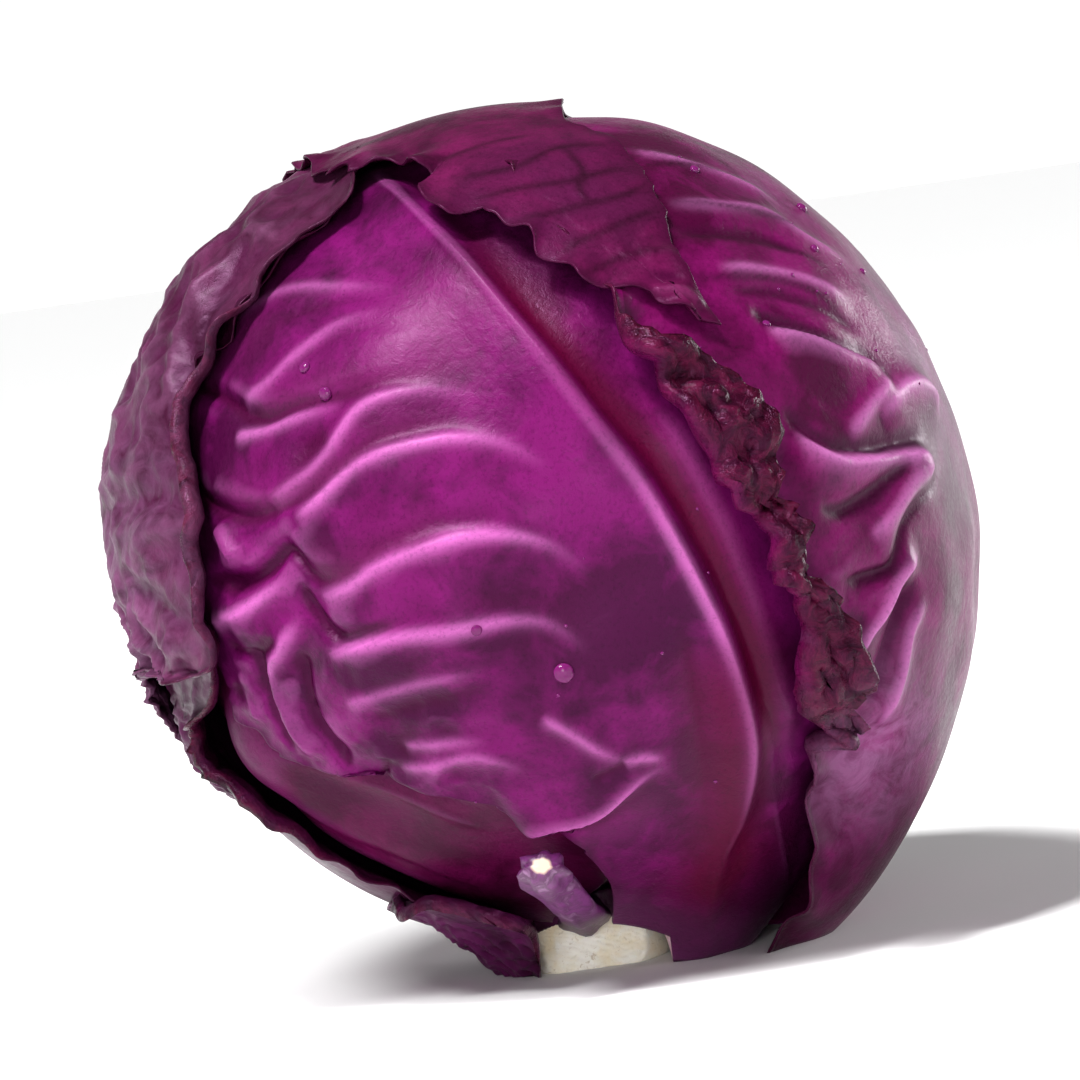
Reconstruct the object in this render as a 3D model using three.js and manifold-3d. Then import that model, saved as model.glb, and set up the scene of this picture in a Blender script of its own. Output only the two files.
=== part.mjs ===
// A head of red cabbage, cut from its stem and standing on the cut. Millimetres, +Z up.
//
// The head is a ball of tightly packed leaves, the heart, with the loose wrapper leaves around it.
// Each wrapper leaf is one closed solid: a thin blade with a fleshy midrib that starts at the stalk.
// Every leaf is laid out on the ball by three curves, its left margin, its midrib and its right margin,
// as seen from outside with the tip up. Its height above the ball comes from its place in the stack of
// leaves, from the ridges and creases drawn on it, and from the leaves that it lies on.
import * as THREE from "three";
import { mergeVertices } from "three/addons/utils/BufferGeometryUtils.js";
import Module from "manifold-3d";

const wasm = await Module();
wasm.setup();

// Driving dimensions
const CENTRE_HEIGHT = 81; // centre of the head above the cut face that it stands on
const HEART_RADIUS = 67;
const BLADE = 0.9; // thickness of a leaf blade
const LEAF_GAP = 1.2; // least air between the faces of two leaves that lie on each other
const STALK_RADIUS = 14.5;
const STALK_CENTRE = new THREE.Vector2(-2, -1);
const STALK_TOP = 14.5;
const STALK_GAP = 0.35; // between the stalk and the leaves that grow from it

// The head leans its drawing towards the viewer: the front drawing is seen from a little above.
const VIEW_DIP = THREE.MathUtils.degToRad(4);
const DRAWING_CENTRE = 84; // height of the head's centre in the front drawing
const centre = new THREE.Vector3(0, 0, CENTRE_HEIGHT);

// The knife cut the stalk level below and took a slice off its front, leaf bases and all.
const SLICE = {
  left: -11.5,
  right: 12,
  height: 9.5,
  depth: 3.4,
  reach: 60, // the knife goes on through the leaf bases and out past the head
  tilt: THREE.MathUtils.degToRad(-8),
};

// Directions from the centre of the head

// Azimuth 0 is the front and 90 the right-hand side; latitude 90 is the crown.
const around = (azimuth, latitude) => {
  const [a, b] = [azimuth, latitude].map(THREE.MathUtils.degToRad);
  return new THREE.Vector3(Math.sin(a) * Math.cos(b), -Math.cos(a) * Math.cos(b), Math.sin(b));
};

// The place that the front drawing shows at x, z on a ball of that radius.
const FRONT_RADIUS = 73; // of the front leaf's face
const OUTLINE_SHARE = 0.995; // a place drawn beyond the ball's outline is moved just inside it
const seen = (x, z, radius = FRONT_RADIUS) => {
  const up = z - DRAWING_CENTRE;
  const inside = Math.min(1, (OUTLINE_SHARE * radius) / Math.hypot(x, up));
  const [a, b] = [x * inside, up * inside];
  const near = Math.sqrt(radius * radius - a * a - b * b);
  const [c, s] = [Math.cos(VIEW_DIP), Math.sin(VIEW_DIP)];
  return new THREE.Vector3(a, b * s - near * c, b * c + near * s).normalize();
};
const drawn = (points, radius) => points.map(([x, z]) => seen(x, z, radius));
const route = (points) => points.map(([azimuth, latitude]) => around(azimuth, latitude));

const guide = (directions) => {
  const curve = new THREE.CatmullRomCurve3(directions, false, "catmullrom", 0.5);
  return (v) => curve.getPointAt(Math.min(1, Math.max(0, v))).normalize();
};

// Part of the way from direction a to direction b along their great circle.
const between = (a, b, share) => {
  const angle = a.angleTo(b);
  if (angle < 1e-6) return a.clone();
  const [p, q] = [Math.sin((1 - share) * angle), Math.sin(share * angle)];
  return a.clone().multiplyScalar(p).addScaledVector(b, q).normalize();
};

// Relief: swellings, ridges and creases

// A round swelling of that rise about a direction; spread is in degrees.
const swelling = (at, rise, spread) => (d) => {
  const angle = THREE.MathUtils.radToDeg(d.angleTo(at));
  return rise * Math.exp(-((angle / spread) ** 2));
};

const STROKE_STEPS = 3; // straight pieces between two points of a stroke
const STROKE_REACH = 3; // widths from its line at which a stroke has no height left
const FADE = 0.22; // share of a stroke over which each end fades out

// A ridge (rise above 0) or crease (below 0) along a curve on the ball. Its profile has a width of its
// own on the left and on the right of the way that it is drawn.
function stroke(directions, rise, leftWidth, rightWidth, fade = FADE) {
  const at = guide(directions);
  const count = STROKE_STEPS * (directions.length - 1);
  const points = Array.from({ length: count + 1 }, (_, i) => at(i / count).multiplyScalar(HEART_RADIUS));
  const reach = STROKE_REACH * Math.max(leftWidth, rightWidth);
  const middle = points.reduce((sum, p) => sum.add(p), new THREE.Vector3()).divideScalar(points.length);
  const bound = Math.max(...points.map((p) => p.distanceTo(middle))) + reach;
  return (d) => {
    const q = d.clone().multiplyScalar(HEART_RADIUS);
    if (q.distanceTo(middle) > bound) return 0;
    let best = Infinity;
    let side = 0;
    let along = 0;
    for (let i = 0; i < count; i++) {
      const step = points[i + 1].clone().sub(points[i]);
      const from = q.clone().sub(points[i]);
      const share = Math.min(1, Math.max(0, from.dot(step) / step.lengthSq()));
      const distance = from.distanceTo(step.clone().multiplyScalar(share));
      if (distance >= best) continue;
      best = distance;
      side = d.clone().cross(step).dot(from);
      along = (i + share) / count;
    }
    const width = side > 0 ? leftWidth : rightWidth;
    const ends = Math.min(1, along / fade) * Math.min(1, (1 - along) / fade);
    return rise * Math.exp(-((best / width) ** 2)) * ends * (2 - ends);
  };
}
const strokes = (list, radius) =>
  list.map(([rise, left, right, ...points]) => stroke(drawn(points, radius), rise, left, right));
const total = (parts) => (d) => parts.reduce((sum, part) => sum + part(d), 0);

// The larger of two heights, rounded off where they meet.
const softMax = (a, b, soft = 1.2) => {
  const k = Math.max(0, Math.min(1, 0.5 + (0.5 * (a - b)) / soft));
  return b + (a - b) * k + soft * k * (1 - k);
};

// The ball under the leaves: it flares down to the cut on the right, where the largest leaf stalks meet it.
const flare = swelling(around(84, -72), 10, 19);
const ball = (d) => HEART_RADIUS + flare(d);

// The leaves. skin(d) is the radius of the blade's outer face, and ribs(d) the midrib that stands out of it.

// Side veins run from the midrib towards a margin and bend towards the tip. Each is a low ridge.
const VEIN = { lean: 0.16, bend: 1.4, places: [0.06, 0.35, 0.65, 0.9], widths: [2.5, 4.5] };
const sideVeins = (middle, edge, { from, to, count, rise }) =>
  Array.from({ length: count }, (_, k) => {
    const start = from + ((to - from) * k) / (count - 1);
    const points = VEIN.places.map((share) => {
      const v = start + VEIN.lean * share ** VEIN.bend;
      return between(middle(v), edge(v), share);
    });
    return stroke(points, rise, ...VEIN.widths);
  });

function leafOf({ level, relief = [], ribs = [], veins = {}, over = [], ...rest }) {
  const curves = { left: guide(rest.left), middle: guide(rest.middle), right: guide(rest.right) };
  const veined = Object.entries(veins).flatMap(([side, rule]) =>
    sideVeins(curves.middle, curves[side], rule),
  );
  const height = total([...relief, ...veined]);
  const skin = (d) =>
    over.reduce(
      (r, below) => softMax(r, below.outside(d) + BLADE + LEAF_GAP),
      ball(d) + level + height(d),
    );
  const rib = total(ribs);
  return { ...rest, ...curves, skin, outside: (d) => skin(d) + rib(d) };
}

// Under leaf: it lies below the front leaf and shows its broad smooth midrib at the lower left.
const underRib = [
  around(-40, -79),
  seen(-14, 12.5, 74),
  ...drawn([[-27, 20.5], [-35, 26], [-47, 37], [-55, 46], [-60.5, 55.5]], 73),
  around(-70, -8),
];
// Along the lower left the lower leaf's margin lies close on the under leaf, with no hollow between them.
const lowerMargin = drawn([[-16, 12], [-27, 18], [-36, 22.5], [-44, 28.5], [-51, 35], [-57, 41.5]], 76);
const underLeaf = leafOf({
  name: "under_leaf",
  colour: 0x6b2a58,
  roughness: 0.42,
  level: 0.9,
  relief: [
    swelling(around(-42, -85), 5.5, 13),
    swelling(seen(-50, 33, 74), 1.2, 13),
    stroke(lowerMargin, 1.4, 14, 9),
  ],
  ribs: [stroke(underRib, 2.2, 8, 9, 0.35)],
  left: route([[-66, -79], [-80, -62], [-94, -42], [-102, -20], [-104, 0], [-100, 22]]),
  middle: [...underRib, around(-74, 22)],
  right: route([[-36, -79], [-22, -74], [2, -67], [8, -58], [-4, -44], [-16, -26], [-24, -6], [-44, 22]]),
  rows: [[0, 5], [0.3, 9]],
  columns: [5, 7],
});

// Front leaf: the large bright one whose midrib crosses the head from the cut to the crown.
const frontRib = [
  around(62, -80),
  seen(25, 13, 84),
  seen(28, 28, 76),
  ...drawn([[30, 42], [28.5, 57], [24.5, 70], [18, 87], [10.5, 101], [2, 116], [-6, 129]]),
  ...drawn([[-14, 140], [-21, 149]]),
  around(-75, 74),
  around(-125, 78),
];
// Each row: rise, width above, width below, then the points of the drawing from left to right.
const frontLaterals = strokes([
  [0.9, 4, 6, [-50, 128], [-40, 131.5], [-30, 131], [-18, 128]],
  [1.3, 2, 5, [-50, 112], [-44, 116], [-38, 120.5], [-30, 124], [-20, 125]],
  [-2.6, 1.8, 1.8, [-60, 119], [-54, 115], [-50, 111.5], [-46, 109.5], [-40, 111], [-28, 111]],
  [
    1.8, 2.2, 7,
    [-47, 94], [-40, 98], [-36, 101], [-33, 104], [-29, 108],
    [-24, 110], [-16, 110], [-6, 107], [2, 101],
  ],
  [
    -2.8, 2.2, 1.8,
    [-63, 104], [-60, 97.5], [-55, 94], [-50, 92.6],
    [-44, 93.6], [-38, 95.5], [-33, 98.5], [-27, 102],
  ],
  [2.2, 2.2, 7, [-42, 91], [-37, 94], [-33, 97], [-28, 99.5], [-20, 101], [-12, 101], [-4, 98.5], [4, 92]],
  [
    -3.4, 2, 2,
    [-60, 83], [-54, 81.5], [-49, 83], [-45, 86], [-43, 85],
    [-40.5, 80.8], [-37, 79.2], [-32, 80], [-27, 83],
  ],
  [2.6, 2.2, 7, [-40, 77], [-34, 78.5], [-29, 81], [-22, 82.8], [-13, 84], [-5, 83], [2, 79.5], [8, 73]],
  [2.4, 2.4, 3.4, [-60, 75.5], [-55, 76], [-50, 78.5], [-46, 80.5], [-43.5, 80]],
  [-3.2, 1.8, 1.8, [-43.5, 80], [-42, 76], [-40, 72.2], [-37, 69.6], [-32, 69.4], [-25, 70.5]],
  [2.2, 2.2, 6, [-40, 67], [-34, 68], [-26, 68.8], [-18, 68.6], [-9, 68.6], [-1, 66.5], [6, 60]],
  [1.6, 2.6, 2, [-52, 64.5], [-49, 68], [-46, 71.5], [-43.5, 75]],
  [1.0, 1.8, 3, [-38, 58], [-30, 59.2], [-22, 60.2], [-12, 61]],
  [1.3, 1.8, 3, [-31, 45], [-25, 45], [-18, 45.6], [-12, 43.6], [-8, 40.5]],
  [1.4, 3, 2, [-5, 51], [0, 47.5], [4, 44.2], [10, 40.5]],
  [3.2, 8, 1.4, [-12, 30.8], [-5, 31.8], [0, 32.2], [4, 33.6], [8, 36], [12, 38.4], [18, 40]],
]);
// The pleats of the left margin, drawn downwards, so the left width is on the right of the drawing.
const frontPleats = strokes([
  [-3.0, 1.8, 1.8, [-45, 68], [-44.8, 60], [-44, 55], [-41.5, 50], [-39, 45]],
  [2.0, 2.6, 2.6, [-51, 66], [-49.5, 60], [-47.5, 54], [-45.5, 48]],
  [-2.0, 1.6, 1.6, [-54, 70], [-52.5, 62], [-51, 56], [-49, 50]],
  [2.4, 2.4, 2.4, [-57, 92], [-55, 88], [-53, 84.5]],
]);
const frontRidges = [
  stroke(frontRib.slice(0, 13), 2.4, 6.5, 3.2, 0.1),
  ...strokes([
    [
      -1.3, 3, 3,
      [34, 38], [33, 55], [30, 68], [26, 80], [20, 93],
      [12, 105], [4, 118], [-4, 130], [-10, 139],
    ],
    [1.1, 2.5, 5, [38, 40], [35, 60], [31.5, 74], [28, 86], [24, 97], [18, 108]],
    [-1.0, 3, 3, [20, 24], [22, 38], [22, 54], [20, 70]],
  ]),
];
const frontLeaf = leafOf({
  name: "front_leaf",
  colour: 0x8f2a86,
  roughness: 0.38,
  level: 5.9,
  relief: [...frontLaterals, ...frontPleats, stroke(lowerMargin, -3.4, 14, 4.5)],
  ribs: [...frontRidges, swelling(around(60, -77), 6.5, 9)],
  over: [underLeaf],
  left: [
    around(6, -80),
    seen(3.5, 13.5, 78),
    seen(0.5, 21, 76),
    ...drawn([[-2.5, 27], [-7, 30.5], [-12, 31.5], [-16, 36], [-23, 39], [-29, 41], [-36, 44.5]]),
    ...drawn([[-43, 45.5], [-49, 48], [-54, 51.5], [-56, 55], [-60, 58], [-61, 66], [-65, 78]]),
    ...drawn([[-68, 90], [-68, 104], [-64, 118], [-56, 131], [-45, 142]]),
    ...route([[-62, 66], [-110, 68]]),
  ],
  middle: frontRib,
  right: [
    ...route([[92, -76], [98, -60], [90, -42], [78, -22], [70, -2], [66, 16], [62, 34], [60, 52]]),
    ...route([[72, 70], [120, 80]]),
  ],
  rows: [[0, 4], [0.1, 18], [0.5, 14]],
  columns: [15, 6],
});

// Lower left leaf: it runs up from the cut along the lower left, and its crinkled margin shows as a narrow
// strip between the front leaf and the outer left leaf.
const lowerLeaf = leafOf({
  name: "lower_left_leaf",
  colour: 0x5a2a4a,
  roughness: 0.5,
  level: 7.4,
  relief: [
    swelling(around(-66, -24), 2.2, 9),
    swelling(around(-88, -27), 4.4, 8.5),
    swelling(around(-84, -55), -8, 17),
    swelling(seen(-36, 140, 76), -2, 14),
    stroke(lowerMargin, -2.6, 14, 6),
  ],
  ribs: [stroke(route([[-100, -80], [-98, -62], [-100, -42], [-103, -20]]), 1.8, 6, 6, 0.4)],
  over: [underLeaf, frontLeaf],
  left: route([[-122, -80], [-132, -55], [-138, -30], [-140, -4], [-138, 20], [-132, 42], [-116, 62]]),
  middle: route([[-98, -80], [-97, -62], [-100, -42], [-103, -20], [-105, 4], [-102, 34], [-88, 62]]),
  right: [
    around(-72, -80),
    ...lowerMargin,
    ...drawn([[-61, 46.5], [-65, 51]], 76),
    ...drawn([[-66, 57], [-62.5, 61], [-60, 68], [-61, 80], [-61.5, 95], [-61.5, 108], [-59, 118]], 75),
    ...drawn([[-55, 123.5], [-51, 127], [-46, 133], [-41, 138.5], [-34, 143.5], [-26, 148]], 77),
  ],
  rows: [[0, 18], [0.45, 10]],
  columns: [4, 5],
  fold: { side: "right", radius: 1.1, width: total([() => 0.6, swelling(seen(-60, 50, 75), 2.6, 16)]) },
});

// Outer left leaf: dull and wilted, with a rolled lip along its front margin and an ear at its lower end.
const outerRelief = strokes(
  [
    [-1.8, 2.2, 5, [-63, 116], [-60, 124], [-56, 131], [-50, 137.5], [-43, 142.5]],
    [1.6, 2.4, 1.6, [-66, 112], [-62.5, 123], [-59, 131], [-53, 138], [-46, 144]],
    [1.2, 3, 3, [-79, 92], [-72, 93.5], [-66, 94], [-63, 97]],
    [-1.6, 2.4, 2.4, [-74, 84], [-70, 79], [-67, 75.5], [-64, 79]],
    [1.6, 2.4, 2.4, [-78, 71], [-72, 72.5], [-66, 70.5], [-62, 73]],
    [1.2, 3.5, 3.5, [-76, 104], [-71, 107], [-68, 113], [-66, 120]],
  ],
  80,
);
const outerRib = route([
  [-138, -80],
  [-136, -55],
  [-128, -30],
  [-118, -8],
  [-112, 12],
  [-108, 32],
  [-104, 50],
  [-96, 68],
]);
const outerLeaf = leafOf({
  name: "outer_left_leaf",
  colour: 0x6e4a66,
  roughness: 0.55,
  level: 12.6,
  relief: [
    ...outerRelief,
    swelling(around(-88, 18), 1.6, 20),
    swelling(around(-92, -12), -1.6, 14),
    swelling(around(-30, 84), -5.5, 19),
    swelling(around(-100, -50), -4, 26),
    swelling(around(75, 10), -5, 50),
    swelling(around(-92, 50), 1.0, 12),
  ],
  ribs: [stroke(outerRib.slice(0, 5), 2.2, 5, 5)],
  veins: {
    left: { from: 0.22, to: 0.7, count: 5, rise: 0.45 },
    right: { from: 0.3, to: 0.76, count: 4, rise: 0.8 },
  },
  over: [underLeaf, frontLeaf, lowerLeaf],
  left: route([[-158, -80], [-168, -54], [-172, -26], [-173, 4], [-174, 30], [-176, 52], [170, 70]]),
  middle: outerRib,
  right: [
    ...route([[-118, -80], [-120, -56], [-108, -34]]),
    ...drawn([[-77, 66], [-71, 66.5], [-66, 66.2], [-60.5, 68], [-61.5, 76], [-63, 86], [-61.5, 96]], 80),
    ...drawn([[-63, 105], [-61, 115], [-57, 122.5], [-53, 126], [-48, 132], [-41, 139], [-34, 144.5]], 79),
    seen(-25, 148.5, 78.5),
    around(-62, 70),
  ],
  rows: [[0, 7], [0.3, 15], [0.72, 7]],
  columns: [5, 8],
  fold: { side: "right", radius: 1.3, width: total([() => 1, swelling(seen(-63, 100, 80), 2.6, 22)]) },
});

// Right leaf: it wraps the right-hand side, and its front margin is folded back on itself and crumpled.
const rightRelief = strokes(
  [
    [-2.2, 1.8, 1.6, [42, 117], [47, 114], [52, 111.5], [58, 108], [65, 104.5]],
    [2.2, 1.8, 5, [44, 113], [50, 111], [56, 108], [61, 105.6], [65, 102.5]],
    [1.8, 3, 2, [56, 92], [60, 96.5], [63, 99.5], [65, 102.5]],
    [-2.4, 2, 1.8, [45, 99], [49, 93.5], [54, 90], [62, 89.4], [70, 90.5]],
    [2.6, 1.8, 5, [46, 94], [50, 90], [54, 88], [61, 87.4], [67, 87.4], [72, 86]],
    [2.2, 3, 5, [62, 95], [67, 99.4], [72, 99.4], [75, 93]],
    [-2.0, 1.6, 1.8, [48, 80.5], [52, 79.4], [57, 81.2], [62, 84.4], [67, 87]],
    [-2.0, 1.8, 1.8, [50, 66.8], [56, 67.4], [60, 69], [63, 75], [67, 79.5], [72, 83]],
    [2.6, 3, 2.4, [48, 49], [51, 55], [56, 60.5], [60, 66], [66, 70.5]],
    [-3.0, 2.6, 2.6, [53, 44], [57, 52], [61, 60], [65, 66]],
    [1.6, 2.2, 2.2, [54, 40], [59, 49.5], [62, 57], [66, 62]],
    [1.2, 3, 3, [30, 138], [40, 136.5], [48, 135], [56, 129], [64, 123]],
    [-1.2, 2, 2, [30, 133], [38, 132], [46, 130.5], [54, 126]],
  ],
  79,
);
const rightRib = route([
  [124, -80],
  [112, -62],
  [103, -42],
  [97, -22],
  [93, 0],
  [91, 20],
  [92, 40],
  [98, 60],
  [116, 80],
]);
const rightLeaf = leafOf({
  name: "right_leaf",
  colour: 0x84347a,
  roughness: 0.4,
  level: 10.2,
  relief: [
    ...rightRelief,
    swelling(around(85, -50), 8.2, 29),
    swelling(around(42, -8), 1.6, 18),
    swelling(around(60, 90), -3.5, 18),
    swelling(seen(47, 24, 88), -7, 11),
    swelling(around(92, -18), 0.8, 26),
    swelling(around(84, 42), -1.1, 18),
  ],
  ribs: [stroke(rightRib.slice(0, 6), 2, 6, 6, 0.3), swelling(around(116, -77), 5.5, 9)],
  veins: { right: { from: 0.2, to: 0.8, count: 6, rise: 0.9 } },
  over: [frontLeaf],
  left: [
    around(92, -80),
    seen(29.5, 0.4, 90),
    ...drawn([[36.5, 6.5], [43.5, 13.5], [47.5, 21.5], [50, 31]], 88),
    ...drawn([[48, 39], [41.5, 44.5], [40.5, 56], [42.5, 65.5], [38, 70.5], [37, 79]], 80),
    ...drawn([[31, 90], [25.5, 100]], 80),
    ...drawn([[20.5, 112], [15, 124], [7, 138], [1, 149]], 78),
    around(-40, 76),
  ],
  middle: rightRib,
  right: route([[144, -80], [146, -60], [151, -36], [153, -12], [154, 12], [158, 38], [170, 66]]),
  rows: [[0, 7], [0.2, 19], [0.75, 6]],
  columns: [13, 4],
  fold: {
    side: "left",
    radius: 1.8,
    width: total([() => 1, swelling(seen(30, 95, 80), 12, 12), swelling(seen(40, 60, 80), 5, 12)]),
  },
});

// Back leaf: it climbs the back, turns over the crown and ends in a jagged tip at the front.
const crownRelief = strokes(
  [
    [1.0, 2.5, 3.5, [-20, 155.5], [-8, 156], [4, 155], [14, 156]],
    [-0.9, 1.6, 1.6, [-6, 148], [4, 149.2], [12, 151.8], [20, 151], [25, 150]],
    [-0.9, 1.6, 1.6, [-2, 143], [6, 145], [14, 145], [22, 146], [27, 144.6]],
    [-0.9, 1.4, 1.4, [5, 138.5], [14, 139.8], [22, 140.6], [28, 141.6]],
    [-1.1, 1.4, 1.4, [8, 130.5], [13, 133], [19, 134.6], [25, 136.4], [29.6, 136.8]],
  ],
  81,
);
const backRib = route([[180, -80], [178, -56], [176, -30], [175, -4], [174, 22], [172, 46], [165, 68]]);
const backLeaf = leafOf({
  name: "back_leaf",
  colour: 0x6c3460,
  roughness: 0.5,
  level: 12.4,
  relief: [
    ...crownRelief,
    swelling(around(60, 84), -4.4, 26),
    swelling(around(100, 40), -4, 40),
    swelling(seen(-20, 150, 81), -4, 12),
    swelling(seen(13.5, 160, 79), 1.6, 4),
    swelling(seen(28, 120, 80), 1.2, 10),
  ],
  ribs: [stroke(backRib, 2.4, 5.5, 5.5, 0.35)],
  veins: {
    left: { from: 0.1, to: 0.5, count: 5, rise: 1.1 },
    right: { from: 0.08, to: 0.48, count: 5, rise: 1.1 },
  },
  ruffle: (v) => 0.7 + 0.7 * Math.sin(76 * v) + 0.5 * Math.sin(123 * v),
  over: [frontLeaf, rightLeaf, outerLeaf, lowerLeaf],
  left: [
    ...route([[156, -80], [140, -58], [134, -30], [132, 0], [133, 26], [140, 48], [150, 66], [100, 79]]),
    ...drawn([[14.5, 158.6], [19, 155.5], [22, 153], [26, 147.5], [29, 140], [30.5, 131]], 81),
    ...drawn([[32.5, 123], [36, 114.5]], 81),
  ],
  middle: [
    ...backRib,
    around(60, 84),
    ...drawn([[0, 154], [8, 147], [14, 140], [19, 133], [25, 125.5], [32.5, 116]], 81),
  ],
  right: [
    ...route([[-156, -80], [-146, -58], [-142, -30], [-140, 0], [-138, 26], [-126, 50], [-88, 63]]),
    ...drawn([[-33, 153.5], [-26, 152.5], [-19, 153], [-13, 150.5], [-15, 146], [-10, 141.5]], 81),
    ...drawn([[-3, 139.5], [0, 136.5], [4, 135], [3.5, 130], [9, 127.5], [12, 124]], 81),
    ...drawn([[21, 121.5], [24, 118], [30, 117]], 81),
  ],
  rows: [[0, 15], [0.62, 22]],
  columns: [6, 7],
});

// Trimmed leaf base: the stump of an outermost leaf, cut off a little way from the stalk.
const stumpLeaf = leafOf({
  name: "trimmed_leaf_base",
  colour: 0x64285a,
  roughness: 0.45,
  level: 8.2,
  relief: [swelling(around(-75, -88), 14, 13)],
  ribs: [stroke(route([[-74, -82], [-76, -74], [-76, -64]]), 1.4, 5, 5, 0.4)],
  over: [underLeaf, lowerLeaf],
  left: route([[-108, -79.5], [-104, -73], [-98, -66], [-92, -60]]),
  middle: route([[-78, -79.5], [-78, -73], [-77, -66], [-76, -59]]),
  right: [around(-46, -79.5), seen(-14, 12.5, 79), seen(-22, 17, 77), seen(-30, 20.5, 76), seen(-36, 20, 76)],
  rows: [[0, 9]],
  columns: [3, 4],
  fold: { side: "right", radius: 1.4, width: () => 3.4 },
});

// Solids

const solidFrom = (geometry) => {
  const bare = geometry.clone();
  bare.deleteAttribute("normal");
  bare.deleteAttribute("uv");
  const merged = mergeVertices(bare, 1e-4);
  return new wasm.Manifold(
    new wasm.Mesh({
      numProp: 3,
      vertProperties: new Float32Array(merged.attributes.position.array),
      triVerts: new Uint32Array(merged.index.array),
    }),
  );
};

const geometryFrom = (solid) => {
  const made = solid.getMesh();
  const geometry = new THREE.BufferGeometry();
  geometry.setAttribute("position", new THREE.BufferAttribute(new Float32Array(made.vertProperties), 3));
  geometry.setIndex(new THREE.BufferAttribute(new Uint32Array(made.triVerts), 1));
  geometry.computeVertexNormals();
  return geometry;
};

// Where a place on a folded margin lies: how far inside the fold line, and how high above the blade.
const folded = (along, radius) => {
  const turn = Math.min(Math.PI, along / radius);
  return {
    inside: Math.max(0, along - Math.PI * radius) - radius * Math.sin(turn),
    lift: radius * (1 - Math.cos(turn)),
  };
};

const FOLD_COLUMNS = 5;

// Rows lie closer together where a leaf shows its face. Each entry is [start, number of rows].
const rowPlaces = (stretches) => {
  const places = stretches.flatMap(([start, count], k) => {
    const end = stretches[k + 1]?.[0] ?? 1;
    return Array.from({ length: count }, (_, i) => start + ((end - start) * i) / count);
  });
  return [...places, 1];
};

// The directions and lifts of one row of a leaf, from its left edge to its right edge.
const RUFFLE_SHIFT = 0.05; // the two margins of a leaf don't ruffle in step
function rowOf(leaf, v) {
  const [l, m, r] = [leaf.left(v), leaf.middle(v), leaf.right(v)];
  const [leftColumns, rightColumns] = leaf.columns;
  const row = [];
  const foldOn = (edge) => {
    const width = leaf.fold.width(edge);
    const reach = edge.angleTo(m) * HEART_RADIUS;
    return Array.from({ length: FOLD_COLUMNS }, (_, i) => {
      const { inside, lift } = folded((width * (FOLD_COLUMNS - i)) / FOLD_COLUMNS, leaf.fold.radius);
      return { d: between(edge, m, inside / reach), lift };
    });
  };
  if (leaf.fold?.side === "left") row.push(...foldOn(l));
  for (let i = 0; i < leftColumns; i++) row.push({ d: between(l, m, i / leftColumns), lift: 0 });
  for (let i = 0; i <= rightColumns; i++) row.push({ d: between(m, r, i / rightColumns), lift: 0 });
  if (leaf.ruffle) {
    row[0].lift = leaf.ruffle(v);
    row.at(-1).lift = leaf.ruffle(v + RUFFLE_SHIFT);
  }
  if (leaf.fold?.side === "right") row.push(...foldOn(r).reverse());
  return row;
}

// A closed blade: the outer face, the inner face at the blade's thickness under it, and the rim.
function bladeGeometry(leaf) {
  const rows = rowPlaces(leaf.rows).map((v) => rowOf(leaf, v));
  const width = rows[0].length;
  const height = rows.length;
  const place = (radiusOf) =>
    rows.map((row) => row.map(({ d, lift }) => d.clone().multiplyScalar(radiusOf(d) + lift)));
  const outer = place(leaf.outside);
  const skin = place(leaf.skin);
  const clamp = (i, most) => Math.max(0, Math.min(most, i));
  const inner = skin.map((row, j) =>
    row.map((p, i) => {
      const across = skin[j][clamp(i + 1, width - 1)].clone().sub(skin[j][clamp(i - 1, width - 1)]);
      const upwards = skin[clamp(j + 1, height - 1)][i].clone().sub(skin[clamp(j - 1, height - 1)][i]);
      return p.clone().addScaledVector(across.cross(upwards).normalize(), -BLADE);
    }),
  );
  const positions = [...outer.flat(), ...inner.flat()].flatMap((p) => [p.x, p.y, p.z + CENTRE_HEIGHT]);
  const at = (j, i, face) => face * width * height + j * width + i;
  const index = [];
  for (let j = 0; j < height - 1; j++)
    for (let i = 0; i < width - 1; i++) {
      const [a, b, c, e] = [at(j, i, 0), at(j, i + 1, 0), at(j + 1, i + 1, 0), at(j + 1, i, 0)];
      index.push(a, b, c, a, c, e);
      const [p, q, s, t] = [at(j, i, 1), at(j, i + 1, 1), at(j + 1, i + 1, 1), at(j + 1, i, 1)];
      index.push(p, s, q, p, t, s);
    }
  const rim = [
    ...Array.from({ length: width - 1 }, (_, i) => [0, i]),
    ...Array.from({ length: height - 1 }, (_, j) => [j, width - 1]),
    ...Array.from({ length: width - 1 }, (_, i) => [height - 1, width - 1 - i]),
    ...Array.from({ length: height - 1 }, (_, j) => [height - 1 - j, 0]),
  ];
  rim.forEach(([j, i], n) => {
    const [k, h] = rim[(n + 1) % rim.length];
    const [a, b, c, e] = [at(j, i, 0), at(k, h, 0), at(k, h, 1), at(j, i, 1)];
    index.push(a, c, b, a, e, c);
  });
  const geometry = new THREE.BufferGeometry();
  geometry.setAttribute("position", new THREE.Float32BufferAttribute(positions, 3));
  geometry.setIndex(index);
  return geometry;
}

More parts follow.
